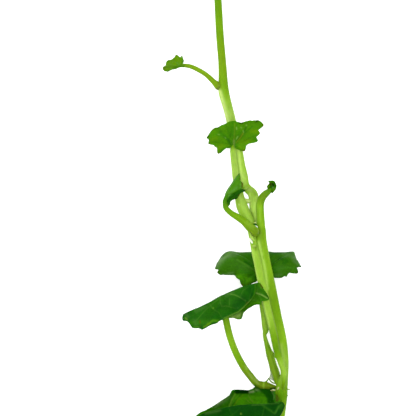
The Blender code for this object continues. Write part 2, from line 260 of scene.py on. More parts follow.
def add_piece(name, vertices, faces, tint, skin, materials, face_materials=None):
    """A mesh piece that rides on the shoot, with its colour and its pattern's coordinates."""
    mesh = bpy.data.meshes.new(name)
    mesh.from_pydata((vertices * MILLIMETRE).tolist(), [], faces)
    colours = np.column_stack([np.clip(tint, 0.0, 1.0), np.ones(len(tint))])
    mesh.attributes.new("Tint", "FLOAT_COLOR", "POINT").data.foreach_set("color", colours.ravel())
    mesh.attributes.new("Skin", "FLOAT_VECTOR", "POINT").data.foreach_set("vector", skin.ravel())
    for material in materials:
        mesh.materials.append(material)
    if face_materials is not None:
        mesh.polygons.foreach_set("material_index", face_materials)
    mesh.shade_smooth()
    mesh.validate()
    piece = bpy.data.objects.new(name, mesh)
    bpy.context.scene.collection.objects.link(piece)
    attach(piece, "root")
    return piece


# Stems and stalks

def tube_faces(rings, sides):
    """Faces round a tube, with a fan over each end whose middle points come after the rings."""
    faces = []
    for ring in range(rings - 1):
        for side in range(sides):
            start = ring * sides
            after = (side + 1) % sides
            faces.append((start + side, start + after, start + sides + after, start + sides + side))
    first = rings * sides
    last = first + 1
    end = (rings - 1) * sides
    for side in range(sides):
        after = (side + 1) % sides
        faces.append((first, after, side))
        faces.append((last, end + side, end + after))
    return faces


def radii_round(line, angles, ridges, ridge_depth, bulges):
    """A stalk's radius at each point of its line and each angle round it, with its ridges and bulges."""
    radii = line[:, 3:] * (1 + ridge_depth * np.cos(ridges * angles))[None, :]
    for height, reach, angle, width, rise in bulges:
        turn = (angles - math.radians(angle) + math.pi) % (2 * math.pi) - math.pi
        round_it = np.exp(-((turn / math.radians(width)) ** 2))
        radii = radii + rise * np.exp(-(((line[:, 1:2] - height) / reach) ** 2)) * round_it[None, :]
    return radii


def tint_along(heights, tints):
    """Colours at these heights up the shoot, between stops of (y, colour)."""
    stops, colours = zip(*tints)
    return np.stack([np.interp(heights, stops, channel) for channel in zip(*colours)], axis=-1)


def add_stalk(name, slot, points, tints, ridges=5, ridge_depth=RIDGE_DEPTH, bulges=(), cut=(), strokes=(),
              sides=STALK_SIDES):
    """A stem or stalk with a round to ridged cross-section.

    points are (x, y, z, radius), and tints (y, colour) in rising order of y. A bulge is (y, reach, angle,
    width, rise), with its angle and width in degrees, where 0 faces up and 90 the right. cut holds (share
    of the radius, colour) from the middle of a cut end to its rim.
    """
    line = smooth_line(points, LINE_STEPS)
    centres = line[:, :3]
    along = unit(np.gradient(centres, axis=0))
    right = unit(np.cross(along, (0.0, 0.0, 1.0)))
    up = np.cross(right, along)
    angles = -math.pi + 2 * math.pi * np.arange(sides) / sides
    radii = radii_round(line, angles, ridges, ridge_depth, bulges)
    rise, sway = radii * np.cos(angles), radii * np.sin(angles)
    ring = centres[:, None, :] + rise[..., None] * up[:, None, :] + sway[..., None] * right[:, None, :]
    tint = np.repeat(tint_along(centres[:, 1], tints)[:, None, :], sides, axis=1)
    tint = paint(tint, on_picture(ring), strokes)
    steps = np.linalg.norm(np.diff(centres, axis=0), axis=1)
    lengths = np.concatenate([[0.0], np.cumsum(steps)])
    skin = np.stack([rise, sway, np.repeat(lengths[:, None], sides, axis=1)], axis=-1)
    for share, colour in reversed(cut):
        ring = np.concatenate([centres[:1, None, :] + (ring[-len(centres)][None] - centres[0]) * share, ring])
        tint = np.concatenate([np.broadcast_to(colour, (1, sides, 3)), tint])
        skin = np.concatenate([skin[-len(centres)][None] * (share, share, 1.0), skin])
    rings = len(ring)
    vertices = np.concatenate([ring.reshape(-1, 3), centres[:1], centres[-1:]])
    tint = np.concatenate([tint.reshape(-1, 3), tint[0, :1], tint[-1, :1]])
    ends = np.array([(0.0, 0.0, 0.0), (0.0, 0.0, lengths[-1])])
    skin = np.concatenate([skin.reshape(-1, 3), ends])
    faces = tube_faces(rings, sides)
    piece = add_piece(name, vertices, faces, tint, skin, [STEM_SKIN])
    return piece


def replace_stalk(node, **looks):
    """A stem or stalk whose skin stands for the solid of that name."""
    piece = add_stalk(node + "_skin", **looks)
    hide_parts(node)


# Leaves

def ring_value(values, place):
    """Smooth values at places counted in ribs round the closed leaf."""
    values = np.array(values, float)
    index = np.floor(place).astype(int)
    share = (place - index)[..., None]
    near = [values[(index + step) % len(values)] for step in (-1, 0, 1, 2)]
    return between(*near, share)


def on_blade(junction, ribs, place, out):
    """Points of the blade's middle surface, a share out of the way to the ribs' tips at these places."""
    centre = np.array(junction, float)
    middle = ring_value([rib[0] for rib in ribs], place)
    tip = ring_value([rib[1] for rib in ribs], place)
    along = out[..., None]
    bend = 2.0 * middle - 0.5 * (centre + tip)
    return (1 - along) ** 2 * centre + 2 * along * (1 - along) * bend + along**2 * tip


def margin_reach(junction, ribs, margins):
    """How far out the margin is at each column of the leaf, as a share of the way to the ribs' tips.

    Round lobes stand on the ribs. Where the picture shows the margin, it follows the picture instead.
    """
    count = len(ribs)
    place = np.arange(count * SECTOR_STEPS) / SECTOR_STEPS
    notches = np.array([rib[2] for rib in ribs])
    depth = notches[np.floor(place).astype(int) % count]
    reach = 1.0 - depth * (1.0 - np.abs(np.cos(math.pi * place)))
    outs = np.linspace(REACH_LOW, REACH_HIGH, REACH_TRIES)
    for first, spots in margins:
        last = first
        keys = []
        for spot in spots:
            places = np.arange(last, last + PLACE_WINDOW, 1.0 / (2 * SECTOR_STEPS))
            tries = on_picture(on_blade(junction, ribs, *np.meshgrid(places, outs, indexing="ij")))
            misses = np.linalg.norm(tries - np.array(spot), axis=-1) + REACH_COST * np.abs(outs - 1.0)
            best = np.unravel_index(np.argmin(misses), misses.shape)
            if misses[best] < MISS_LIMIT:
                keys.append((places[best[0]], outs[best[1]]))
                last = places[best[0]]
        knots = np.array(keys)
        followed = (place - knots[0, 0]) % count <= knots[-1, 0] - knots[0, 0]
        there = knots[0, 0] + (place - knots[0, 0]) % count
        reach = np.where(followed, np.interp(there, knots[:, 0], knots[:, 1]), reach)
    # Each column is evened out a little with the two beside it
    return 0.25 * np.roll(reach, 1) + 0.5 * reach + 0.25 * np.roll(reach, -1)


def vein_paths(count, mains, seed):
    """Main and side veins as paths of (place, out), where place counts ribs and out runs to the margin."""
    draw = random.Random(seed)
    main_paths = []
    side_paths = []
    for index, place in enumerate(mains):
        gap = (mains[(index + 1) % len(mains)] - place) % count
        after = place + gap
        sway = draw.uniform(-0.25, 0.25)
        low = draw.uniform(0.3, 0.42)
        high = draw.uniform(0.42, 0.55)
        near = place + gap * draw.uniform(0.3, 0.4)
        far = place + gap * draw.uniform(0.6, 0.7)
        link = draw.uniform(0.56, 0.7)
        main_paths.append([(place, 0.0), (place + sway, 0.5), (place, 0.97)])
        # Two side veins part from the mains, and three links join them to each other and to the mains
        side_paths += [
            [(place + sway * low, low), (near - 0.2, 0.62), (near, 0.95)],
            [(after, high), (far + 0.2, 0.72), (far, 0.95)],
            [(near - 0.1, link), ((near + far) / 2, link - 0.06), (far + 0.1, link + 0.05)],
            [(place, link + 0.1), ((place + near) / 2, link + 0.04), (near, link + 0.16)],
            [(far, link + 0.14), ((far + after) / 2, link + 0.2), (after, link + 0.1)],
        ]
    return main_paths, side_paths


def vein_share(points, paths, surface, width):
    """How much of a vein each point is: 1 on its line, falling to 0 over about its width."""
    samples = []
    for path in paths:
        line = smooth_line(path, LINE_STEPS)
        spots = surface(line[:, 0], line[:, 1])
        for index in range(len(line) - 1):
            steps = max(1, int(np.linalg.norm(spots[index + 1] - spots[index]) / VEIN_STEP))
            for step in range(steps):
                samples.append(line[index] + (line[index + 1] - line[index]) * step / steps)
    samples = np.array(samples)
    spots = surface(samples[:, 0], samples[:, 1])
    tree = kdtree.KDTree(len(spots))
    for index, spot in enumerate(spots):
        tree.insert(spot, index)
    tree.balance()
    share = np.zeros(len(points))
    for index, point in enumerate(points):
        nearest, found, distance = tree.find(point)
        local = width * (VEIN_WIDEST - VEIN_TAPER * samples[found, 1])
        share[index] = math.exp(-((distance / local) ** 2))
    return share


def slow_waves(points):
    """How far slow waves lift the blade at each point."""
    return WAVE * np.array([noise.noise(Vector(point / WAVE_SIZE)) for point in points])


def blade_bulge(middle, out, facing, wide, folds, spots):
    """How far the blade's middle surface moves along its normals, for its pucker, slow waves and folds."""
    size = np.linalg.norm(middle[:, -1] - middle[:, 0], axis=-1)[:, None]
    full = np.clip(size * out / HUB_FADE, 0, 1) * np.clip(size * (1 - out) / MARGIN_FADE, 0, 1)
    waves = slow_waves(middle.reshape(-1, 3)).reshape(out.shape) * full
    bulge = facing * PUCKER * (1 - wide) * full + waves
    for path, width, rise in folds:
        bulge = bulge + rise * np.exp(-((distance_to(path, spots) / width) ** 2)) * full
    return bulge


def drawn_veins(spots, paths):
    """How much of a vein that the picture shows each spot is."""
    drawn = np.zeros(spots.shape[:-1])
    for path, width, strength in paths:
        line = strength * np.exp(-((distance_to(path, spots) / width) ** 2))
        drawn = np.maximum(drawn, line)
    return drawn


def side_tint(spots, out, tints, vein_colour, vein, strokes):
    """The colours of one side of a blade: from the junction's to the margin's, then veins and strokes."""
    inner, outer = np.array(tints)
    tint = inner + (outer - inner) * (out**TINT_CURVE)[..., None]
    tint = blend(tint, vein_colour, VEIN_PAINT * vein)
    return paint(tint, spots, strokes)


def blade_faces(columns, rings):
    """Faces of a blade, and whether each is on the side along its normals (0) or on the other one (1)."""
    total = columns * rings
    hub = 2 * total + columns
    edge = rings - 1
    faces = []
    sides = []
    for column in range(columns):
        after = (column + 1) % columns
        here = column * rings
        there = after * rings
        below_here = total + here
        below_there = total + there
        rim_here = 2 * total + column
        rim_there = 2 * total + after
        faces.append((hub, here, there))
        faces.append((hub + 1, below_there, below_here))
        for ring in range(edge):
            further = ring + 1
            faces.append((here + ring, here + further, there + further, there + ring))
            faces.append((below_here + ring, below_there + ring, below_there + further, below_here + further))
        faces.append((here + edge, rim_here, rim_there, there + edge))
        faces.append((rim_here, below_here + edge, below_there + edge, rim_there))
        sides += [0, 1] * (rings + 1)
    return faces, sides


def add_blade(node, slot, facing, near, seed, junction, ribs, mains, net, tints, veins, margins, folds=(),
              seen_veins=(), strokes=(), other_veins=(), other_strokes=()):
    """A leaf blade whose skin stands for the solid of that name.

    Side 0 is the one along the blade's normals and side 1 the other. facing is 1 where side 0 is the
    leaf's upper side, and -1 where side 1 is. tints holds each side's colours at the junction and at the
    margin, and veins each side's vein colour. near is the side that the camera sees most of: seen_veins
    are paths on the picture for it and strokes its paint, and other_veins and other_strokes are the other
    side's, where the leaf turns that to the camera. mains are the main veins' places, counted in ribs, and
    net is how strong the seeded veins are on each side. folds are creases.
    """
    count = len(ribs)
    reach = margin_reach(junction, ribs, margins)
    place = np.arange(count * SECTOR_STEPS)[:, None] / SECTOR_STEPS
    out = np.linspace(BLADE_START, 1.0, RIB_STEPS)[None, :]
    place, out = np.broadcast_arrays(place, out)

    def surface(places, outs):
        """Points of the blade's middle surface, where out runs to the margin."""
        columns = np.floor(places * SECTOR_STEPS).astype(int) % len(reach)
        return on_blade(junction, ribs, places, outs * reach[columns])

    middle = surface(place, out)
    outward = unit(np.gradient(middle, axis=1))
    sideways = np.roll(middle, -1, axis=0) - np.roll(middle, 1, axis=0)
    normal = unit(np.cross(outward, sideways))
    columns, rings = place.shape
    points = middle.reshape(-1, 3)
    spots = on_picture(middle)

    main_paths, side_paths = vein_paths(count, mains, seed)
    main, side, wide = [
        vein_share(points, paths, surface, width).reshape(columns, rings)
        for paths, width in (
            (main_paths, MAIN_VEIN_WIDTH), (side_paths, SIDE_VEIN_WIDTH), (main_paths, PUCKER_GAP),
        )
    ]
    seeded = main + SIDE_VEIN_SHARE * side
    drawn = [drawn_veins(spots, seen_veins if which == near else other_veins) for which in (0, 1)]
    end = np.clip((VEIN_END - out) / VEIN_FADE, 0, 1)
    vein = [end * np.clip(net[which] * seeded + drawn[which], 0, 1) for which in (0, 1)]

    bulge = blade_bulge(middle, out, facing, wide, folds, spots)
    thickness = LEAF_THICKNESS * (1 - MARGIN_THINNING * out**3)
    upper, lower = (0, 1) if facing > 0 else (1, 0)
    raised = [0.0, 0.0]
    raised[upper] = -VEIN_GROOVE * vein[upper]
    raised[lower] = VEIN_RIDGE * vein[lower]
    along = middle + normal * (bulge + thickness / 2 + raised[0])[..., None]
    against = middle + normal * (bulge - thickness / 2 - raised[1])[..., None]
    rim = middle[:, -1] + normal[:, -1] * bulge[:, -1:] + outward[:, -1] * thickness[:, -1:] * RIM_ROUNDING

    sides = [
        side_tint(spots, out, tints[which], veins[which], vein[which],
                  strokes if which == near else other_strokes)
        for which in (0, 1)
    ]

    centre = np.array(junction, float)
    hub = unit(normal[:, 0].mean(axis=0)) * LEAF_THICKNESS / 2
    hubs = [centre + hub, centre - hub]
    vertices = np.concatenate([along.reshape(-1, 3), against.reshape(-1, 3), rim, hubs])
    rim_tint = RIM_SHARES[0] * sides[1 - near][:, -1] + RIM_SHARES[1] * sides[near][:, -1]
    hub_tints = [sides[0][0, 0], sides[1][0, 0]]
    tint = np.concatenate([sides[0].reshape(-1, 3), sides[1].reshape(-1, 3), rim_tint, hub_tints])
    faces, sides_of_faces = blade_faces(columns, rings)
    materials = [LEAF_TOP, LEAF_BELOW] if facing > 0 else [LEAF_BELOW, LEAF_TOP]
    piece = add_piece(node + "_skin", vertices, faces, tint, vertices.copy(), materials, sides_of_faces)
    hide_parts(node)


def add_film(name, colour, first_edge, second_edge):
    """A dry film between two edges of the same number of points, in millimetres."""
    first = smooth_line(first_edge, FILM_LINE_STEPS)
    second = smooth_line(second_edge, FILM_LINE_STEPS)
    shares = np.linspace(0.0, 1.0, FILM_STEPS)[None, :, None]
    top = first[:, None] + (second - first)[:, None] * shares
    across = unit(np.cross(np.gradient(top, axis=0), np.gradient(top, axis=1)))
    top = top + across * 0.5 * FILM_THICKNESS
    below = top - across * FILM_THICKNESS
    rows, columns = top.shape[:2]
    total = rows * columns
    faces = []
    for row in range(rows - 1):
        for column in range(columns - 1):
            corner = row * columns + column
            quad = (corner, corner + columns, corner + columns + 1, corner + 1)
            faces.append(quad)
            faces.append(tuple(total + index for index in reversed(quad)))
    border = [(row, 0) for row in range(rows)] + [(rows - 1, column) for column in range(1, columns)]
    border += [(row, columns - 1) for row in range(rows - 2, -1, -1)]
    border += [(0, column) for column in range(columns - 2, 0, -1)]
    loop = [row * columns + column for row, column in border]
    for here, there in zip(loop, loop[1:] + loop[:1]):
        faces.append((there, here, total + here, total + there))
    vertices = np.concatenate([top.reshape(-1, 3), below.reshape(-1, 3)])
    tint = np.broadcast_to(colour, vertices.shape)
    piece = add_piece(name, vertices, faces, tint, vertices.copy(), [FILM])


# Materials

NOISE_LOW = 0.3         # most of a noise lies between these
NOISE_HIGH = 0.7
FLECK_STARTS = 0.66     # noise above which a pale fleck comes in, and where it is full
FLECK_FULL = 0.74
PORE_STARTS = 0.34      # noise below which a dark pore comes in, and where it is full
PORE_FULL = 0.26
SHINE_SPREAD = 0.08     # how far the roughness strays either way
BUMP_HEIGHT = 0.00006   # metres
GLOW_REACH = (0.5, 1.0, 0.2)    # how far red, green and blue light go inside, beside each other


def node_material(name):
    """A new material with its node tree and shader."""
    material = bpy.data.materials.new(name)
    material.use_nodes = True
    tree = material.node_tree
    return material, tree, tree.nodes["Principled BSDF"]


def add_node(tree, kind, inputs=(), **settings):
    """A node with its settings and the constant values of its sockets."""
    node = tree.nodes.new(kind)
    for setting, value in settings.items():
        setattr(node, setting, value)
    for socket, value in inputs:
        node.inputs[socket].default_value = value
    return node


def stretched_skin(tree, stretch):
    """The pattern's coordinates on the skin, in millimetres, scaled by stretch along each axis."""
    skin = add_node(tree, "ShaderNodeAttribute", attribute_name="Skin")
    mapping = add_node(tree, "ShaderNodeMapping", [("Scale", stretch)])
    tree.links.new(skin.outputs["Vector"], mapping.inputs["Vector"])
    return mapping.outputs["Vector"]


def ranged(tree, value, low, high, first, last):
    """The value, with low to high spread over first to last."""
    spread = add_node(
        tree,
        "ShaderNodeMapRange",
        [("From Min", low), ("From Max", high), ("To Min", first), ("To Max", last)],
    )
    tree.links.new(value, spread.inputs["Value"])
    return spread.outputs["Result"]


def grain_noise(tree, vector, scale, detail):
    """Noise on the skin, as many grains to a millimetre as scale says."""
    grain = add_node(tree, "ShaderNodeTexNoise", [("Scale", scale), ("Detail", detail)])
    tree.links.new(vector, grain.inputs["Vector"])
    return grain.outputs["Fac"]


def multiply(tree, colour, factor):
    """The colour times the factor."""
    scale = add_node(tree, "ShaderNodeVectorMath", operation="SCALE")
    tree.links.new(colour, scale.inputs[0])
    tree.links.new(factor, scale.inputs["Scale"])
    return scale.outputs[0]


def plant_material(name, stretch, roughness, specular, glow, glow_depth, grain, fleck, bump):
    """Living tissue: the painted tint, broken up by blotches, cells and flecks, and a little lit inside.

    glow is how much of the light goes inside, and glow_depth how far, in metres. grain and fleck are how far
    the patterns change the colour, as shares of it.
    """
    material, tree, shader = node_material(name)
    tint = add_node(tree, "ShaderNodeAttribute", attribute_name="Tint")
    vector = stretched_skin(tree, stretch)
    blotch = grain_noise(tree, vector, scale=0.5, detail=2.0)
    cell = grain_noise(tree, vector, scale=3.2, detail=3.0)
    speck = grain_noise(tree, vector, scale=5.5, detail=1.0)
    colour = tint.outputs["Color"]
    for pattern in (blotch, cell):
        colour = multiply(tree, colour, ranged(tree, pattern, NOISE_LOW, NOISE_HIGH, 1 - grain, 1 + grain))
    colour = multiply(tree, colour, ranged(tree, speck, FLECK_STARTS, FLECK_FULL, 1.0, 1 + fleck))
    colour = multiply(tree, colour, ranged(tree, speck, PORE_STARTS, PORE_FULL, 1.0, 1 - 0.5 * fleck))
    tree.links.new(colour, shader.inputs["Base Color"])
    shine = ranged(tree, cell, NOISE_LOW, NOISE_HIGH, roughness - SHINE_SPREAD, roughness + SHINE_SPREAD)
    tree.links.new(shine, shader.inputs["Roughness"])
    relief = add_node(tree, "ShaderNodeBump", [("Strength", bump), ("Distance", BUMP_HEIGHT)])
    tree.links.new(cell, relief.inputs["Height"])
    tree.links.new(relief.outputs["Normal"], shader.inputs["Normal"])
    shader.inputs["Specular IOR Level"].default_value = specular
    shader.inputs["Subsurface Weight"].default_value = glow
    shader.inputs["Subsurface Radius"].default_value = GLOW_REACH
    shader.inputs["Subsurface Scale"].default_value = glow_depth
    return material


def film_material():
    """Dry, thin tissue that lets part of what is behind it show."""
    material, tree, shader = node_material("dry_film")
    tint = add_node(tree, "ShaderNodeAttribute", attribute_name="Tint")
    cell = grain_noise(tree, stretched_skin(tree, (1.0, 1.0, 1.0)), scale=2.5, detail=4.0)
    colour = multiply(tree, tint.outputs["Color"], ranged(tree, cell, NOISE_LOW, NOISE_HIGH, 0.85, 1.12))
    tree.links.new(colour, shader.inputs["Base Color"])
    shader.inputs["Roughness"].default_value = FILM_ROUGHNESS
    shader.inputs["Specular IOR Level"].default_value = DULL
    shader.inputs["Alpha"].default_value = FILM_ALPHA
    return material


def floor_material():
    """The studio's pale, dull floor."""
    material, tree, shader = node_material("studio_floor")
    shader.inputs["Base Color"].default_value = FLOOR_COLOUR
    shader.inputs["Roughness"].default_value = FLOOR_ROUGHNESS
    shader.inputs["Specular IOR Level"].default_value = DULL
    shader.inputs["Emission Color"].default_value = WHITE
    shader.inputs["Emission Strength"].default_value = FLOOR_GLOW
    return material


STEM_SKIN = plant_material(
    "stem_skin", stretch=(1.0, 1.0, 0.3), roughness=0.42, specular=0.05, glow=0.3, glow_depth=0.0005,
    grain=0.09, fleck=0.2, bump=0.3,
)
LEAF_TOP = plant_material(
    "leaf_top", stretch=(1.0, 1.0, 1.0), roughness=0.45, specular=0.03, glow=0.1, glow_depth=0.0003,
    grain=0.12, fleck=0.2, bump=0.4,
)
LEAF_BELOW = plant_material(
    "leaf_below", stretch=(1.0, 1.0, 1.0), roughness=0.5, specular=0.03, glow=0.12, glow_depth=0.0003,
    grain=0.1, fleck=0.2, bump=0.4,
)
FILM = film_material()


# The shoot

# A point of a stem or stalk is (x, y, z, radius), from the base up. Where a skin grows out of the next
# piece, its first or last points lie beyond the solid. A rib of a leaf is its middle, its tip on the margin
# and the depth of the notch that follows it, in order round the leaf. A margin is the rib where it starts
# and its spots on the picture. On the picture are a stroke of paint, (path, half width, colour, strength),
# a vein, (path, half width, strength), and a fold, (path, half width, rise).

# Lower stem, with the clean cut and the groove that the fan leaf's stalk lies in

GROOVE = [(256.6, 247), (259, 255), (260.6, 262), (262.2, 269), (263.8, 277), (265.6, 286), (269.5, 298)]
LOWER_GROOVE = [
    (269.5, 298), (271.2, 308), (272.8, 316), (275.2, 326), (277.6, 336), (278.9, 345), (279.6, 351),
]
STEM_LOWER = dict(
    node="stem_lower", slot="stem", ridges=6,
    points=[
        (9.1, -51.2, 1.1, 1.1), (9.4, -47.6, 2.1, 1.1), (9.7, -44, 3, 1), (9.95, -41.2, 3.7, 1.08),
        (9.95, -38.6, 4.3, 1.26), (10.55, -35.6, 4.95, 0.8), (10.35, -33.2, 5.5, 1.06),
        (10.1, -30.4, 6.1, 1.1), (9.7, -27.8, 6.6, 1.1), (8.9, -24.2, 7.2, 1.1), (8.3, -21.2, 7.7, 1.1),
        (7.7, -18.2, 8.2, 1.1), (6.95, -14.8, 8.7, 1.1), (6.3, -11.6, 9.1, 1.1), (5.9, -9, 9.4, 1.05),
        (5.85, -7, 9.6, 0.95), (5.8, -6, 9.75, 0.8), (5.7, -5, 9.9, 0.55), (5.65, -4.4, 10, 0.2),
    ],
    tints=[
        (-51.2, DEEP_STEM_GREEN), (-44, FRESH_GREEN), (-42, STEM_GREEN), (-40, DEEP_STEM_GREEN),
        (-38, STEM_GREEN), (-33.8, SOFT_GREEN), (-29.8, FRESH_GREEN), (-26.8, FRESH_GREEN),
        (-22.8, STEM_GREEN), (-18, STEM_GREEN), (-13.8, FRESH_GREEN), (-8.8, FRESH_GREEN), (-5, STEM_GREEN),
    ],
    bulges=[
        (-11.5, 4.5, -47, 28, 0.42), (-18, 4.5, -44, 28, 0.42), (-25, 4.5, -38, 28, 0.42),
        (-31.5, 4, -32, 26, 0.36), (-40, 0.9, 60, 40, 0.08),
    ],
    cut=[
        (0.3, PALE_GREEN), (0.62, LIGHT_GREEN), (0.76, DEEP_STEM_GREEN), (0.9, LIGHT_GREEN),
        (0.97, DEEP_STEM_GREEN),
    ],
    strokes=[
        # Painted highlight along the ridge beside the fan leaf's stalk
        ([(258.5, 242), (260.8, 250), (262.4, 258), (264.4, 266), (266, 276),
          (267.4, 289)], 1.4, PALE_GREEN, 0.85),
        ([(261.8, 250), (262.2, 252)], 0.6, STEM_GREEN, 0.7),
        ([(263.2, 256.5), (263.8, 258.5)], 0.6, STEM_GREEN, 0.7),
        ([(272.6, 268), (275.4, 288)], 2.2, FRESH_GREEN, 0.7),
        ([(273, 300), (278, 325), (281.5, 340)], 1.6, DEEP_STEM_GREEN, 0.4),
        # Painted highlight down the stem
        ([(281.5, 345), (283, 355), (284.2, 365), (285.4, 373)], 2, SOFT_GREEN, 0.5),
        ([(282, 366), (283.5, 384)], 1.5, LIGHT_GREEN, 0.6),
        ([(286.5, 345), (288.2, 360), (288, 372)], 0.8, MOSS_GREEN, 0.35),
        ([(284.4, 345), (286, 356), (286.6, 370)], 1.4, FRESH_GREEN, 0.6), (GROOVE, 0.5, GREY_BROWN, 0.25),
        (LOWER_GROOVE, 0.5, GREY_BROWN, 0.5),
        # Painted shadow under the folded leaf's clasp
        ([(259.8, 231.5), (257.5, 235.5), (254.5, 237.4)], 1.4, MOSS_GREEN, 0.8),
        ([(263, 225), (263.6, 238)], 1.6, STEM_GREEN, 0.6),
        # Painted shadow under the clasp's rim
        ([(256.8, 235), (259.2, 233.2)], 0.8, OLIVE_GREEN, 0.9),
        ([(255, 248.6), (256, 250.4)], 0.6, OLIVE_BROWN, 0.35),
        ([(277.4, 391), (277.8, 404)], 0.7, OLIVE_BROWN, 0.55),
        ([(279.5, 393), (279.6, 404)], 0.7, MOSS_GREEN, 0.8), ([(278, 388.2)], 1, PALEST_GREEN, 0.7),
        ([(281.2, 390.5), (281, 404)], 1.6, YOUNG_LEAF, 0.6),
    ],
)


# Upper stem, from behind the fork to the tip

UPPER_NODE_STROKES = [
    ([(218.6, 83), (219.4, 86.6)], 1, NODE_PURPLE, 0.45), ([(217, 88.6), (219, 88)], 1.2, NODE_PURPLE, 0.8),
]
STEM_UPPER = dict(
    node="stem_upper", slot="stem",
    points=[
        (5.9, -9.8, 9, 0.35), (5.2, -8, 8.5, 0.42), (4.85, -6.4, 8.2, 0.45), (4.75, -4.6, 8.3, 0.75),
        (4.6, -2.4, 8.6, 0.86), (4.44, -0.8, 8.8, 0.9), (4.12, 0.6, 9, 0.85), (3.25, 1.55, 9.15, 0.7),
        (2.72, 2.4, 9.2, 0.7), (2.32, 4, 9.2, 0.86), (1.7, 6.4, 9.1, 0.9), (1.15, 9.4, 8.9, 0.94),
        (0.35, 12.8, 8.6, 0.94), (-0.38, 16, 8.2, 0.95), (-1.21, 19.2, 7.6, 0.98), (-1.68, 22, 7, 0.95),
        (-1.95, 26.8, 5.9, 0.8), (-2.4, 32.2, 4.6, 0.78), (-2.79, 39.2, 3, 0.74), (-3.14, 45.2, 1.75, 0.64),
        (-3.33, 48.2, 1.15, 0.5),
    ],
    tints=[
        (14, LIGHT_GREEN), (16, SOFT_GREEN), (18, LIGHT_GREEN), (20, FRESH_GREEN), (22, STEM_GREEN),
        (27, STALK_OLIVE), (34, STEM_GREEN), (40, DEEP_STEM_GREEN),
    ],
    bulges=[
        (-2.6, 2.6, 0, 70, 0.85), (3.2, 2.4, -75, 45, 0.5), (9, 5, -55, 40, 0.42),
        (20.7, 1.7, -85, 45, 0.2),
    ],
    strokes=[
        *UPPER_NODE_STROKES,
        # Painted highlights down the stem's left side
        ([(219.8, 91.6), (221.8, 98), (223.5, 104), (225.2, 111), (226.6, 117),
          (228, 122)], 1.9, PALEST_GREEN, 0.85),
        ([(237.6, 150), (239.6, 165), (242, 180)], 2.4, PALE_GREEN, 1),
        ([(238.6, 150), (240.2, 165), (242.2, 182)], 1, HIGHLIGHT_STRIPE, 0.8),
        ([(243.4, 174), (244.6, 184)], 2.4, PALE_GREEN, 0.8),
        ([(241, 189.4), (245, 187.6), (248.6, 185)], 2, FRESH_GREEN, 0.5),
        ([(246.6, 188.6), (250.6, 190.4)], 1.6, MILKY_GREEN, 0.5),
        ([(243.6, 190.6), (246.6, 189.8), (249.2, 187.4)], 0.5, OLIVE_GREEN, 0.7),
        # The soft, bright and pale strokes here paint light into the arch's recess and the crevice beside the
        # curled stalk, against their shade
        ([(252.4, 200), (253.4, 208), (254.4, 222)], 4.2, SOFT_GREEN, 0.85),
        ([(249, 188.5), (252, 190.2), (256, 194.5)], 1.6, GREY_BROWN, 0.4),
        ([(249.8, 194), (250.6, 203), (251.6, 211)], 1.2, HIGHLIGHT_STRIPE, 0.9),
        ([(254.6, 203), (254.8, 220)], 1.3, PALE_GREEN, 0.9),
        ([(257, 196.5), (256.2, 204), (256.2, 222)], 0.9, HIGHLIGHT_STRIPE, 0.9),
        ([(250, 212), (252, 217), (254.3, 221)], 0.7, GREY_BROWN, 0.5),
    ],
)

SHOOT_TIP = dict(
    node="shoot_tip", slot="young_leaf",
    points=[
        (-3.28, 47.6, 1.25, 0.4), (-3.32, 48.5, 1.1, 0.42), (-3.36, 49.4, 0.78, 0.76),
        (-3.4, 50.3, 0.8, 0.6), (-3.46, 51.2, 0.9, 0.12),
    ],
    tints=[(48, DEEP_STEM_GREEN), (49, YOUNG_LEAF), (51, YOUNG_LEAF_DARK)],
    bulges=[(49.7, 0.6, -50, 26, 0.14), (50, 0.6, 65, 26, 0.14)],
)


# Tiny leaf: cupped, on the highest stalk

TINY_LEAF_STALK = dict(
    node="tiny_leaf_stalk", slot="leaf_stalk",
    points=[
        (-1.9, 21.5, 7, 0.5), (-2.6, 21.95, 7, 0.82), (-3.05, 22.32, 7, 0.74), (-3.5, 22.72, 7, 0.58),
        (-4, 23.2, 7, 0.53), (-5.2, 24.3, 7, 0.47), (-6.65, 25.2, 6.95, 0.46), (-8.1, 25.87, 6.85, 0.44),
        (-9.2, 26.1, 6.75, 0.4), (-9.75, 26.12, 6.75, 0.38), (-10.3, 26.08, 6.65, 0.34),
        (-10.75, 25.96, 6.5, 0.3), (-11.25, 25.68, 6.35, 0.26), (-11.75, 25.42, 6.25, 0.12),
    ],
    tints=[(22, STALK_OLIVE)],
    strokes=[
        *UPPER_NODE_STROKES, ([(183.4, 65.9), (180, 66), (176, 67.6), (173, 69)], 1.9, YOUNG_LEAF_DARK, 0.75),
    ],
)

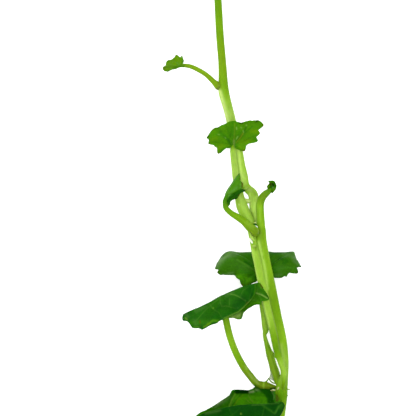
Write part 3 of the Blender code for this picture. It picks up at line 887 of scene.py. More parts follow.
TINY_LEAF_BLADE = dict(
    node="tiny_leaf_blade", slot="young_leaf", facing=-1, near=0, seed=11,
    junction=(-10.1, 26.25, 6.75),
    ribs=[
        ((-9.9, 27, 7), (-9.85, 27.9, 7.6), 0.12), ((-10.6, 27.1, 7.2), (-11.1, 28.25, 8), 0.14),
        ((-11.4, 26.7, 7.2), (-12.5, 27.2, 8.1), 0.06), ((-11.7, 26.4, 7.1), (-13.2, 26.5, 7.9), 0.08),
        ((-11.9, 26, 6.8), (-13.8, 25.5, 7.3), 0.04), ((-11.6, 25.7, 6.3), (-13, 24.9, 6.5), 0.02),
        ((-11.2, 25.65, 5.9), (-12.2, 25.5, 5.2), 0.1), ((-10.9, 26, 5.8), (-11.9, 26.6, 4.8), 0.1),
        ((-10.4, 26.4, 6), (-10.6, 27.2, 5.2), 0.1), ((-9.95, 26.5, 6.5), (-9.75, 26.8, 6.3), 0),
    ],
    mains=(1, 3, 5, 7),
    net=(0.3, 1),
    tints=[(YELLOW_LEAF, YELLOW_LEAF), (YOUNG_LEAF, YOUNG_LEAF)],
    veins=(YELLOW_LEAF, YOUNG_LEAF),
    margins=[(-0.6, [
        (182.9, 61.5), (183, 59), (182.7, 56.8), (181.9, 55.4), (181.3, 56.2), (180.8, 57.1),
        (179.9, 57.2), (179, 56.5), (178.2, 55.9), (177.5, 55), (176.5, 54.7), (175.4, 55.3), (175, 56.4),
        (174.7, 57.3), (173.6, 57.9), (172.6, 58.9), (171.8, 59.7), (170, 59.9), (168.3, 60.1),
        (166.9, 61.2), (166, 63), (166, 64.8), (165.5, 65.8), (164, 66.3), (162.9, 67.3), (162.9, 68.8),
        (163.6, 70.3), (164.8, 71.2), (167, 71.4),
    ])],
    folds=[
        ([(181, 65), (178, 58)], 0.9, 0.12), ([(180, 65.5), (174, 60)], 0.9, -0.12),
        ([(179, 66), (169, 62)], 0.9, 0.12), ([(178, 67), (166, 67)], 0.9, -0.12),
    ],
    strokes=[
        ([(164.6, 68)], 1.3, RED_BROWN, 0.6), ([(167.8, 61.6), (168.2, 61.4)], 0.7, YOUNG_LEAF_DARK, 0.8),
        ([(176.4, 55.6)], 0.8, RED_BROWN, 0.35),
        ([(181.6, 64.5), (177.5, 66.5), (174.5, 67.5)], 1.4, YOUNG_LEAF_DARK, 0.8),
        ([(166.5, 71), (172, 70.2)], 0.8, YOUNG_LEAF_DARK, 0.6),
        ([(182.2, 58), (182.3, 62)], 0.9, FOLDED_LEAF, 0.7),
        ([(177, 62.5), (178.5, 64.5)], 1, FOLDED_SHEEN, 0.5), ([(170.5, 67.5)], 1.2, FOLDED_SHEEN, 0.4),
        ([(173, 60.5), (168.5, 65), (166, 68)], 1.6, STRIPE_GREEN, 0.35),
        ([(180.6, 63.6), (178.4, 60), (177, 57)], 0.5, STRIPE_GREEN, 0.4),
        ([(179.6, 64.6), (175.4, 62), (171.4, 61)], 0.5, STRIPE_GREEN, 0.35),
        ([(179, 65.6), (173, 65.4), (167, 67)], 0.5, STRIPE_GREEN, 0.3),
    ],
)


# Fan leaf: in front of the upper stem

FAN_LEAF_STALK = dict(
    node="fan_leaf_stalk", slot="leaf_stalk", ridges=4,
    points=[
        (10.2, -39.2, 4.9, 0.2), (10.25, -38.4, 5.5, 0.36), (10.4, -37.3, 6.3, 0.4),
        (10.36, -35.4, 6.65, 0.5), (9.72, -33.2, 7.35, 0.58), (9, -31, 7.75, 0.66),
        (8.6, -29.2, 8.05, 0.68), (8.1, -26.8, 8.45, 0.7), (7.4, -24, 8.9, 0.7), (6.85, -21.8, 9.15, 0.68),
        (6.3, -19, 9.5, 0.68), (5.7, -16.7, 9.8, 0.68), (5, -13.2, 10.3, 0.68), (4.6, -11.4, 10.45, 0.66),
        (4.2, -9.4, 10.4, 0.62), (3.95, -7.6, 10.2, 0.7), (3.55, -5.3, 10.1, 0.88), (2.66, -3.6, 10.2, 1.1),
        (1.94, -1.9, 10.3, 1.12), (1.5, -0.2, 10.4, 0.94), (1.2, 1.6, 10.5, 0.78), (0.75, 3.8, 10.6, 0.68),
        (0.5, 6, 10.6, 0.64), (0.3, 8, 10.6, 0.64), (0.2, 9.1, 10.6, 0.6), (0.2, 9.9, 10.75, 0.5),
        (0.25, 10.8, 11.45, 0.3), (0.35, 11.8, 12.3, 0.13),
    ],
    tints=[
        (-39, MOSS_GREEN), (-37.2, STEM_GREEN), (-35.6, LIGHT_GREEN), (-33.4, LIGHT_GREEN),
        (-32, STEM_GREEN), (-30.6, DEEP_STEM_GREEN), (-28, STEM_GREEN), (-24, LIGHT_GREEN),
        (0, LIGHT_GREEN), (4, SOFT_GREEN), (9, LIGHT_GREEN), (10.2, STEM_GREEN), (11.5, YOUNG_LEAF),
    ],
    bulges=[(-14, 7, 80, 40, 0.2), (-26, 6, 75, 40, 0.12), (-31.9, 0.4, -85, 50, 0.24)],
    strokes=[
        ([(236.6, 148), (237.3, 158), (238.4, 168), (239.4, 175)], 0.5, GREY_BROWN, 0.8),
        ([(234.6, 150), (235.6, 162), (237, 174)], 1.2, SOFT_GREEN, 0.7),
        ([(231.4, 152), (232.2, 165), (233.6, 176)], 0.9, PALE_GREEN, 0.6),
        ([(241.8, 194), (243.6, 200), (246.4, 207), (249, 212)], 0.8, GREY_BROWN, 0.5),
        # Painted light in the folded leaf's shadow on this stalk
        ([(238, 195), (241.5, 200), (245.4, 207)], 3, PALE_GREEN, 0.6),
        ([(238.8, 204.3), (239.2, 204.9)], 0.7, PALEST_GREEN, 0.7),
        # Painted light where the folded leaf's stalk shades this one
        ([(241, 206), (246, 213), (251, 221)], 2, PALE_GREEN, 0.45),
        ([(251.6, 240), (254.6, 248)], 2.2, MOSS_GREEN, 0.45),
        ([(252.2, 250), (254, 262), (256.6, 275), (258.6, 283)], 1.5, PALE_GREEN, 0.8),
        ([(255, 252), (257.5, 262), (259.5, 272)], 1.2, LIGHT_GREEN, 0.6),
        ([(256.4, 247), (255.8, 250)], 1, MOSS_GREEN, 0.8),
        ([(263.6, 303), (265.8, 311), (268, 319), (269.6, 327)], 0.8, PALE_GREEN, 0.8),
        ([(262.4, 303), (264.7, 312), (267.1, 320), (269.1, 331)], 0.5, GREY_BROWN, 0.3),
        (GROOVE, 0.6, GREY_BROWN, 0.25), (LOWER_GROOVE, 0.6, GREY_BROWN, 0.5),
    ],
)

FAN_LEAF_BLADE = dict(
    node="fan_leaf_blade", slot="young_leaf", facing=1, near=1, seed=12,
    junction=(0.2, 10.15, 11.1),
    ribs=[
        ((0.1, 9.9, 11), (0.1, 9.55, 10.9), 0), ((-0.7, 9.9, 11.1), (-1.5, 9.35, 10.9), 0),
        ((-1.2, 9.8, 11.3), (-2.7, 8.5, 10.9), 0.16), ((-2.2, 10.5, 11.8), (-4.7, 10.45, 11.7), 0.07),
        ((-2.4, 11.2, 12.3), (-5.2, 11.5, 12.2), 0.02), ((-1.8, 12.1, 13), (-3.7, 13.5, 13.5), 0.02),
        ((-1.2, 12.3, 13.2), (-2.7, 13.8, 13.9), 0), ((-0.3, 12.7, 13.4), (-0.7, 14.9, 14.8), 0),
        ((0.6, 12.7, 13.4), (0.9, 15, 15), 0.03), ((1.9, 12.7, 13.4), (3.6, 15.1, 15), 0),
        ((2.8, 12.6, 13.2), (5.1, 15.1, 14.6), 0.02), ((3.3, 12.1, 12.9), (6.3, 14.2, 13.9), 0.1),
        ((3, 11.4, 12.4), (5.6, 12.6, 13), 0.1), ((2.6, 10.8, 12), (5.2, 11.2, 12.2), 0.16),
        ((1.4, 9.9, 11.5), (2.6, 9, 11.3), 0.03), ((0.7, 9.9, 11.1), (1.1, 9.4, 10.95), 0),
    ],
    mains=(1.8, 4, 6, 8, 10, 12, 14),
    net=(1, 0.15),
    tints=[(YOUNG_LEAF_DARK, YOUNG_LEAF_DARK), (YOUNG_LEAF, YOUNG_LEAF)],
    veins=(YOUNG_LEAF, YOUNG_LEAF_DARK),
    margins=[(0.2, [
        (228.5, 147.2), (226.5, 148.2), (225, 149), (223.5, 150.1), (221.7, 151.9), (219.7, 153.2),
        (218.2, 153.9), (217.4, 152.9), (217.2, 150.5), (217.3, 148.3), (216.6, 147.3), (215, 146.8),
        (214.3, 146), (213.9, 144.9), (212.5, 144.7), (210, 144.7), (208.2, 143.6), (208.7, 142.2),
        (209.1, 140.5), (208.6, 139), (207.5, 138.6), (206, 138.6), (207.1, 136.9), (208.4, 135.2),
        (209.9, 132.8), (211.3, 130.9), (213, 129.1), (215, 127.9), (217, 127.6), (219, 126.8),
        (221.5, 125.3), (225, 124.1), (228, 122.2), (231, 121.3), (235, 121), (236.5, 121.7), (239, 122.2),
        (240.7, 122.9), (243, 122.2), (247, 121.2), (250, 120.3), (252, 120.8), (254, 120.4), (256, 120.7),
        (257.3, 120.1), (258.4, 120.4), (260.6, 121.7), (262.4, 123.3), (263.5, 125.1), (263.2, 126.4),
        (262, 127.2), (260, 127.7), (258.3, 128.6), (257.6, 129.5), (258.4, 130.8), (259.6, 132.3),
        (259.8, 133.6), (258.7, 135.2), (257, 136.2), (256.2, 137.2), (256.5, 138.2), (257.5, 139.8),
        (258, 141.2), (257, 142.1), (254.5, 142.8), (251, 143.2), (248, 144), (246.5, 145.2),
        (245.8, 146.5), (245.7, 148.5), (244.9, 150.6), (244.1, 151.3), (242.5, 150.9), (240, 150.2),
        (238, 149.4), (236.3, 148.7),
    ])],
    folds=[([(231, 134), (229, 142)], 1, 0.1), ([(244, 130), (238, 140)], 1, 0.12)],
    seen_veins=[
        ([(234.2, 147), (234, 136), (235.2, 123)], 0.9, 0.6),
        ([(233.5, 146), (230, 140), (224, 136), (216, 134)], 0.7, 0.7),
        ([(233.5, 146), (228, 143), (220, 142), (212, 141)], 0.7, 0.5),
        ([(235.5, 146), (240, 138), (246, 131), (252, 126)], 0.8, 0.7),
        ([(236, 146.5), (242, 141), (250, 137), (256, 134)], 0.7, 0.45),
        ([(233, 145), (231.5, 138), (228, 130), (226, 125)], 0.7, 0.5),
        ([(235, 145), (237, 137), (241, 128), (246, 123)], 0.7, 0.4),
    ],
    strokes=[
        ([(233.5, 125), (232, 134)], 4.5, YOUNG_LEAF_DARK, 0.75),
        ([(220, 132), (226, 137), (229, 142)], 1.6, YOUNG_LEAF_DARK, 0.8),
        ([(240, 132), (237, 139)], 1.8, YOUNG_LEAF_DARK, 0.7),
        ([(228, 139), (230.5, 144)], 1, DARK_LEAF, 0.6),
        ([(246, 127), (244, 132), (240, 137)], 0.9, DARK_LEAF, 0.7),
        ([(255, 139), (257, 141)], 1.6, YOUNG_LEAF_DARK, 0.8),
        ([(242, 142), (248, 141)], 3, YELLOW_LEAF, 0.7), ([(240, 147), (244, 148)], 1.8, YELLOW_LEAF, 0.5),
        ([(252, 131), (258, 131.5)], 2.2, YELLOW_LEAF, 0.8),
        ([(212, 139.5), (216, 138)], 2, YELLOW_LEAF, 0.7),
        ([(218, 148.5), (222, 145.5)], 2.4, YELLOW_LEAF, 0.7),
        ([(224, 149), (221, 151.5)], 1.4, YOUNG_LEAF_DARK, 0.8),
        ([(234.8, 123.5), (234.6, 131), (234, 139)], 0.8, MOSS_GREEN, 0.5),
        ([(234, 140), (233.8, 149)], 1.1, GREY_BROWN, 0.55),
        ([(243, 133), (240, 137.5), (236.5, 142)], 0.7, OLIVE_GREEN, 0.8),
        ([(236.4, 127), (236.8, 129)], 0.6, SPECK_GREEN, 0.5),
        ([(240.8, 127.2), (241.6, 127.8)], 0.5, SPECK_GREEN, 0.5),
        ([(246.2, 124.8), (246.5, 125.6)], 0.5, SPECK_GREEN, 0.5),
        ([(243, 130.5), (243.5, 132)], 0.5, SPECK_GREEN, 0.45),
        ([(236.4, 138.5), (237.8, 136)], 0.6, SPECK_GREEN, 0.5),
        ([(225, 136.8), (225.8, 138)], 0.5, SPECK_GREEN, 0.35),
        ([(218, 134.3), (219.5, 134.4)], 0.5, SPECK_GREEN, 0.35),
        ([(207.5, 137.5), (208.7, 135.5)], 0.7, BLACK_TIP, 0.75),
        ([(217.4, 127.8), (218.8, 127.3)], 0.7, BLACK_TIP, 0.7),
        ([(212, 130.2), (215, 128.4)], 0.4, RED_BROWN, 0.7),
        ([(239.5, 122.9), (242.5, 122.9)], 0.8, BLACK_TIP, 0.85),
        ([(256.2, 121.4), (257.6, 120.8)], 0.9, BLACK_TIP, 0.9),
        ([(262.8, 124.5), (263, 125.6)], 0.7, RED_BROWN, 0.7), ([(259.4, 133)], 0.9, RED_BROWN, 0.5),
        ([(243.2, 150.4), (244.6, 150.4)], 0.9, RED_BROWN, 0.85), ([(218.4, 152.8)], 1.1, RED_BROWN, 0.55),
        ([(209.5, 143.4)], 1, RED_BROWN, 0.5),
    ],
)


# Folded leaf: young and on a hooked stalk

FOLDED_LEAF_STALK = dict(
    node="folded_leaf_stalk", slot="leaf_stalk",
    points=[
        (4.6, -7.98, 11.05, 0.25), (4.62, -7.6, 11.4, 0.66), (4.45, -6.9, 12, 0.85),
        (3.5, -6.2, 12.2, 0.86), (2.4, -5.1, 12.3, 0.76), (1.15, -4.25, 12.4, 0.68),
        (-0.15, -3.45, 12.5, 0.58), (-1.2, -2.4, 12.6, 0.53), (-1.45, -1.3, 12.7, 0.45),
        (-1.4, -0.8, 12.75, 0.4), (-1.2, -0.2, 12.85, 0.36), (-0.9, 0.5, 12.95, 0.16),
    ],
    tints=[
        (-8.2, OLIVE_GREEN), (-7, CLASP_GREEN), (-4, STEM_GREEN), (-2.5, DEEP_STEM_GREEN), (-1, YOUNG_LEAF),
        (0.5, YOUNG_LEAF_DARK),
    ],
    strokes=[
        ([(249.8, 231.6), (252, 234.8), (254.6, 237.6)], 0.45, BROWN, 0.5),
        # Painted shadow: a dark arc under the clasp's rim
        ([(258.8, 232.8), (256.5, 236.2)], 0.9, MOSS_GREEN, 0.9),
        ([(254, 229), (257, 231)], 1.4, CLASP_GREEN, 0.6),
        ([(247, 222), (253, 227)], 1.6, LIGHT_GREEN, 0.35),
    ],
)

FOLDED_LEAF_BLADE = dict(
    node="folded_leaf_blade", slot="young_leaf", facing=-1, near=1, seed=13,
    junction=(-1.2, 0.1, 12.9),
    ribs=[
        ((0.2, 2.3, 13.4), (1.65, 4.4, 13.1), 0.03), ((0.5, 1.9, 13.7), (2, 3.2, 13.4), 0.05),
        ((0.5, 1.4, 13.8), (2.3, 2.3, 13.6), 0.07), ((0.3, 0.9, 13.5), (1.95, 1.35, 13.3), 0.02),
        ((0.5, 0.6, 13), (2.6, 1.15, 12.6), 0.08), ((0, 0.1, 12.9), (1.4, 0.1, 12.3), 0.05),
        ((-0.2, -0.3, 12.8), (1, -0.65, 12.2), 0.06), ((-0.7, -0.6, 12.7), (-0.3, -1.5, 12.2), 0.06),
        ((-0.95, -0.8, 12.7), (-0.75, -2.1, 12.2), 0.03), ((-1.1, -0.3, 12.8), (-1.1, -0.8, 12.7), 0),
        ((-1.3, 0.3, 12.5), (-1.2, 0.7, 12), 0.03), ((-0.5, 1.6, 12.5), (0, 2.6, 11.9), 0.03),
    ],
    mains=(0, 2, 4, 6, 8, 11),
    net=(0.3, 0.1),
    tints=[(FOLDED_DARK, FOLDED_DARK), (FOLDED_LEAF, FOLDED_LEAF)],
    veins=(DARKEST_LEAF, FOLDED_DARK),
    margins=[(-0.5, [
        (238.4, 173.5), (239.4, 174.7), (240, 176), (240.4, 178), (240, 180.3), (240.8, 181.3),
        (242, 182.5), (242.9, 183.7), (242.4, 185.5), (242, 187.5), (241.8, 189), (243, 189.3),
        (244.5, 189.9), (245.4, 190.4), (244.5, 191.3), (243, 192), (241, 192.9), (239.8, 193.7),
        (239.3, 195), (238.6, 196.3), (237.7, 197.7), (236.8, 198.8), (235.5, 199), (234, 199.2),
        (232.5, 200), (231, 200.9), (230.2, 202), (230.3, 203.5), (229.7, 204.8), (228.5, 205.8),
        (227.7, 206.7),
    ])],
    folds=[([(244, 190.3), (240, 190.6), (235, 193), (230, 197), (226.5, 200.5)], 0.8, -0.45)],
    strokes=[
        ([(226, 198), (229, 192), (233, 186), (237, 178)], 1, YOUNG_LEAF, 0.6),
        ([(229, 193.5), (233, 190.5), (237, 187.5)], 1, FOLDED_SHEEN, 0.6),
        ([(231, 195.5), (236, 190.5), (242, 189)], 0.7, YOUNG_LEAF, 0.7),
        ([(227.5, 197.5), (230, 194)], 1.1, FOLDED_SHEEN, 0.6),
        ([(240.2, 184), (240.6, 187)], 0.9, FOLDED_SHEEN, 0.5),
        ([(236, 179), (234, 185)], 1.5, YOUNG_LEAF_DARK, 0.4),
        # Painted shade of the lower fold below the crease, in the dark strokes here
        ([(243, 189.6), (238.6, 190.8), (234, 193.6), (230.4, 197),
          (227.4, 201)], 1.6, FOLDED_DARK, 1, CRISP),
        ([(238.6, 193.6), (235, 197), (229.5, 203)], 1.8, FOLDED_DARK, 1, CRISP),
        ([(242, 190.4), (237.4, 192), (233, 195.4), (229, 199.6)], 0.7, DARKEST_LEAF, 0.4),
        ([(244.6, 190.4)], 1.4, BLACK_TIP, 0.9), ([(236.8, 198), (234.5, 198.6)], 0.8, BLACK_TIP, 0.7),
        ([(239, 194.6), (238.4, 196.2)], 0.6, RED_BROWN, 0.6), ([(238.4, 174.4)], 0.8, RED_BROWN, 0.9),
        ([(236, 176.6), (234.4, 179)], 0.5, RED_BROWN, 0.5),
        ([(241.8, 182.8), (242.4, 184.4), (241.9, 186.5)], 0.7, RED_BROWN, 0.8),
        ([(240.2, 177.5), (239.8, 180)], 0.5, RED_BROWN, 0.5),
    ],
)


# Curled leaf: a bud on the stalk past the fork

CURLED_LEAF_STALK = dict(
    node="curled_leaf_stalk", slot="leaf_stalk",
    points=[
        (6.2, -11, 9.2, 0.75), (6, -8.6, 9.45, 0.82), (5.84, -6.7, 9.65, 0.85), (5.65, -3.8, 10.1, 0.8),
        (5.58, -2, 10.4, 0.8), (5.8, -0.8, 10.6, 0.78), (6.32, 0.05, 10.8, 0.74), (6.9, 0.6, 10.95, 0.68),
        (7.28, 0.9, 11, 0.58), (7.5, 1.2, 10.95, 0.5), (7.85, 1.5, 10.9, 0.25),
    ],
    tints=[(-2, FRESH_GREEN), (0.2, MOSS_GREEN), (1.4, YOUNG_LEAF)],
    strokes=[
        ([(263.3, 199), (262.8, 206), (263.2, 222)], 0.8, DEEP_STEM_GREEN, 0.6),
        ([(266, 195.5), (269.5, 192.6)], 0.8, DEEP_STEM_GREEN, 0.7),
        # These two light strokes paint light into the crevice beside the upper stem, against its shade
        ([(257.2, 199), (257, 222)], 0.9, LIGHT_GREEN, 0.8),
        ([(259.5, 208), (259.8, 222)], 0.9, LIGHT_GREEN, 0.6),
    ],
)

CURLED_LEAF_BLADE = dict(
    node="curled_leaf_blade", slot="young_leaf", facing=-1, near=1, seed=14,
    junction=(7.75, 1.45, 10.9),
    ribs=[
        ((7.35, 1.9, 11.3), (7, 1.75, 11.9), 0.1), ((7.5, 2.2, 11.1), (7.15, 2.7, 12), 0.06),
        ((7.9, 2.3, 10.9), (7.9, 3, 11.8), 0.04), ((8.25, 2.2, 10.8), (8.45, 2.8, 11.6), 0.04),
        ((8.45, 1.8, 10.8), (8.8, 2, 11.5), 0.05), ((8.3, 1.3, 10.8), (8.6, 1.1, 11.4), 0.05),
        ((8, 1, 10.9), (8, 0.65, 11.4), 0.05), ((7.6, 1.3, 10.95), (7.45, 1.25, 11.3), 0.05),
    ],
    mains=(0, 2, 4, 6),
    net=(1, 0.1),
    tints=[(YOUNG_LEAF_DARK, YOUNG_LEAF_DARK), (YOUNG_LEAF_DARK, YOUNG_LEAF_DARK)],
    veins=(LEAF_VEIN, FOLDED_DARK),
    margins=[(-0.8, [
        (267.3, 186.2), (268.3, 184.8), (269.4, 183.7), (269.2, 183.1), (268.2, 182.9), (267.4, 182.4),
        (268.1, 181.1), (270, 180.8), (272, 180.8), (273.6, 180.9), (274.9, 182.1), (275.5, 183.4),
        (276.1, 185), (276.1, 187), (275.7, 188.8), (275, 190.1), (273.8, 191.3), (271.8, 192.9),
    ])],
    strokes=[
        ([(270.5, 187), (273, 185)], 1.8, FOLDED_DARK, 0.8),
        ([(272.6, 183.6), (273.8, 185.5)], 1.1, BLACK_TIP, 0.9),
        ([(270.3, 183), (270.3, 185)], 0.8, BROWN, 0.9),
        ([(268.3, 182), (270, 181.6), (272, 181.6), (274, 182)], 0.7, YOUNG_LEAF, 0.8),
        ([(268.6, 185.6), (267.8, 187.3)], 0.8, YELLOW_LEAF, 0.7), ([(267.4, 188.6)], 0.8, BROWN, 0.9),
        ([(272.4, 188), (273.6, 187.2)], 0.8, FOLDED_SHEEN, 0.7),
        ([(275, 188.5), (273.8, 190.2)], 0.8, OLIVE_GREEN, 0.8),
        ([(270.5, 190.5), (272.5, 190.8)], 1.1, YOUNG_LEAF, 0.6), ([(271.4, 192.2)], 0.8, BROWN, 0.9),
    ],
)


# Back leaf: wide, behind the stem

BACK_LEAF_STALK = dict(
    node="back_leaf_stalk", slot="leaf_stalk",
    points=[
        (9.8, -39.2, 4.2, 0.5), (9.5, -37.9, 4.15, 0.6), (9, -36.6, 4.1, 0.8), (8.64, -35.4, 4.25, 0.9),
        (8.28, -34.1, 4.55, 0.8), (7.94, -32.9, 4.8, 0.76), (7.58, -31.7, 5, 0.74),
        (7.22, -30.5, 5.25, 0.58), (6.57, -28, 5.7, 0.38), (6.76, -26.95, 5.9, 0.6),
        (6.62, -26, 6.05, 0.62), (6.4, -24, 6.2, 0.6), (6.05, -21.8, 6.3, 0.56), (5.9, -19.2, 6.2, 0.54),
        (6, -17.2, 6, 0.5), (6.05, -16.3, 6, 0.42), (6.05, -15.8, 6.4, 0.36), (6.05, -15.3, 6.9, 0.15),
    ],
    tints=[
        (-38.4, FRESH_GREEN), (-36, CLASP_GREEN), (-33, CLASP_GREEN), (-30, STEM_GREEN), (-25, LIGHT_GREEN),
        (-22, STEM_GREEN), (-16, DEEP_STEM_GREEN),
    ],
    bulges=[(-31.7, 0.4, 85, 50, 0.14)],
    strokes=[
        # The light green strokes paint out the shade that the fan leaf's stalk and the stem cast on this
        # stalk
        ([(265.6, 336), (268, 344)], 2, LIGHT_GREEN, 0.7),
        ([(267.5, 347), (270.5, 358), (274.5, 374)], 1.5, LIGHT_GREEN, 0.2),
        ([(266.8, 337), (273.6, 356), (279.4, 373)], 1.2, LIGHT_GREEN, 0.6),
        ([(262, 304), (264.4, 316), (266.4, 327)], 2.4, LIGHT_GREEN, 0.9),
        ([(267.4, 343), (270.4, 352)], 0.5, MOSS_GREEN, 0.5),
        ([(278.4, 376), (278.2, 384)], 0.8, GREY_BROWN, 0.35),
        ([(274.2, 358), (277.2, 365), (280, 374)], 1.4, LIGHT_GREEN, 0.8),
    ],
)

BACK_LEAF_BLADE = dict(
    node="back_leaf_blade", slot="leaf", facing=-1, near=1, seed=15,
    junction=(6.05, -15.5, 6.85),
    ribs=[
        ((5.5, -16.1, 6.9), (4.9, -17, 6.8), 0), ((4.7, -16.3, 7.1), (3.8, -17.3, 7), 0),
        ((4.1, -16.3, 7.4), (2.7, -18.2, 7.2), 0.03), ((3.5, -15.9, 7.6), (1.6, -17.2, 7.4), 0.04),
        ((3.1, -15.2, 7.9), (0.6, -16.1, 7.6), 0.03), ((1.7, -14.1, 8.1), (-2.1, -15.75, 6.9), 0.04),
        ((1.3, -13.3, 7.8), (-3.4, -14.5, 5.9), 0.04), ((1.4, -12, 7), (-2.5, -12.95, 4.4), 0.05),
        ((1.8, -12, 6.1), (-0.6, -11.4, 3.5), 0.06), ((4.2, -11.4, 5.2), (2.9, -13.8, 0.1), 0.06),
        ((6.3, -11.35, 5), (6.3, -14.3, 0.6), 0.06), ((8.4, -11.4, 5.2), (9.8, -13.9, 0.1), 0.06),
        ((10.4, -12, 5.9), (12.3, -11.4, 2.2), 0.05), ((10.8, -12.3, 6.8), (13.1, -13, 3.8), 0.05),
        ((10.6, -13.4, 7.4), (13.8, -14.1, 5.4), 0.05), ((10.2, -14.3, 7.6), (13.3, -15.3, 6.3), 0.06),
        ((9.2, -15, 7.5), (11, -16.1, 6.9), 0.03), ((8.4, -15.5, 7.3), (9.6, -16.4, 7), 0.02),
        ((7.3, -15.7, 7), (8.3, -16.3, 6.9), 0), ((6.3, -15.8, 6.85), (6.6, -16.1, 6.8), 0),
    ],
    mains=(2, 5, 7, 9, 11, 13, 15, 17),
    net=(1, 0.12),
    tints=[(LEAF_UNDERSIDE, LEAF_UNDERSIDE), (BACK_LEAF_GREEN, BACK_LEAF_GREEN)],
    veins=(PALE_VEIN_AND_HIGHLIGHT, LEAF_VEIN),
    margins=[(-0.3, [
        (256.5, 281.6), (253.5, 282.4), (251, 284.2), (248, 286.4), (245, 287.6), (242.2, 285.5),
        (241.1, 284.4), (240.5, 283), (240.1, 281), (239.7, 279.9), (238.2, 279), (236.3, 277.9),
        (235.8, 276.6), (235, 275.4), (234, 275), (230, 275.1), (226, 274.9), (222.8, 274.5), (221.3, 275),
        (219.8, 274.7), (218, 273.4), (217, 272.4), (217.7, 271.4), (218.6, 270.4), (218.2, 269.4),
        (216.5, 269.3), (215.2, 269.3), (214.9, 268.5), (215.7, 266.7), (216.8, 264), (218, 261.6),
        (219.3, 260.3), (221, 259.1), (223.5, 258.1), (225.5, 257.2), (227, 255.9), (228, 254.3),
        (229, 253), (230.3, 252),
    ]), (11.5, [
        (292.8, 252.2), (293.8, 253.2), (294.8, 254.7), (295.3, 256), (296.2, 258.3), (297.3, 260.5),
        (298.4, 262.7), (299.6, 264.9), (301.2, 266.5), (300.6, 267.1), (299, 267), (297.7, 267.1),
        (296.9, 267.8), (296.7, 268.6), (297.4, 269.6), (298, 270.7), (298.2, 272), (297.7, 273),
        (296.6, 273.6), (294.5, 273.5), (292.5, 273.2), (290.5, 272.7), (289, 272.8), (288.2, 273.3),
        (287.5, 274.5), (287, 275.8), (286.5, 276.9), (285.7, 276.5), (284.5, 276.1), (283.5, 276.5),
        (282.5, 277.2), (281.3, 277.8), (279, 277.9), (276, 277.9), (274, 277.7),
    ])],
    folds=[([(232, 258), (240, 262.5), (247, 266), (252, 270)], 1.8, -0.12)],
    seen_veins=[
        ([(229, 259.5), (236, 260.5), (243, 264), (249, 268), (254, 272)], 0.8, 0.35),
        ([(271.5, 264), (275, 260.5), (280, 257.8), (286, 256.8)], 0.8, 0.7),
        ([(274, 270.5), (279, 268.6), (288, 267.2), (296, 268.5)], 0.8, 0.6),
        ([(254, 274), (248, 278), (244, 283)], 0.7, 0.4),
    ],
    strokes=[
        ([(246, 258), (252, 256), (253, 266)], 3.4, LOBE_GREEN, 0.5),
        ([(245, 262), (251, 266.5)], 1.7, DARKER_LEAF, 0.85),
        ([(248, 254.5), (251.5, 260)], 2.2, DARK_LEAF, 0.5),
        ([(272, 253.6), (288, 253.4)], 1.6, DARKER_LEAF, 0.6),
        ([(250, 275), (256, 278)], 2.2, DARKER_LEAF, 0.5),
        # The grey strokes on this blade are painted sheen
        ([(230, 253.5), (222, 260.5), (217, 267)], 2.4, GREY_SHEEN, 0.9),
        ([(233, 253), (244, 252.5)], 1.3, GREY_SHEEN, 0.7),
        ([(229, 257.5), (235, 256)], 1.8, GREY_SHEEN, 0.5),
        # Painted highlight along the fold's crest
        ([(237, 260.4), (245, 264.6), (252, 269), (255, 271)], 0.9, PALE_VEIN_AND_HIGHLIGHT, 0.3),
        ([(228.5, 273.2), (233, 272.6)], 1.1, GREY_SHEEN, 0.7),
        ([(222.5, 273.8), (227, 274.2)], 0.7, GREY_SHEEN, 0.5),
        ([(239, 277), (245, 277), (246, 282), (250, 279.5)], 3.2, BRIGHT_LEAF, 0.6),
        ([(243, 275), (250, 277), (255, 279)], 0.6, DARK_LEAF, 0.6),
        ([(243, 276), (245, 280), (244.6, 284)], 0.6, DARK_LEAF, 0.5),
        ([(240, 271.5), (252, 273)], 1.8, LOBE_GREEN, 0.7),
        ([(231, 252), (228, 255), (224, 258)], 0.5, YOUNG_LEAF, 0.6),
        ([(217.8, 262), (220, 260)], 0.5, YOUNG_LEAF, 0.6), ([(218.2, 272.4)], 0.8, RED_BROWN, 0.5),
        ([(220.5, 273.8)], 0.8, YOUNG_LEAF, 0.6), ([(242.4, 284.5)], 0.8, RED_BROWN, 0.7),
        ([(236.5, 277.3)], 0.7, RED_BROWN, 0.4),
        ([(271.6, 257), (273, 264), (275, 272)], 2.2, LOBE_GREEN, 0.5),
        ([(280, 258.8), (287, 261), (284, 263)], 2, DARKER_LEAF, 0.6),
        ([(283, 254.3), (291, 256.5), (294.6, 261)], 1.8, GREY_SHEEN, 0.35),
        ([(293.5, 262), (297, 264.5)], 1.2, GREY_SHEEN, 0.5),
        ([(275, 275.5), (281, 274)], 1.8, GREY_SHEEN, 0.3),
        ([(293, 253.2), (295, 257)], 0.6, YOUNG_LEAF, 0.6), ([(300.2, 266.4)], 0.7, DARKEST_LEAF, 0.5),
        ([(297.2, 272.4)], 0.7, RED_BROWN, 0.5), ([(286.4, 275.5)], 0.7, YOUNG_LEAF, 0.7),
        ([(280.5, 277.4)], 0.7, RED_BROWN, 0.5),
    ],
)


# Front leaf: a roof in front of the stem

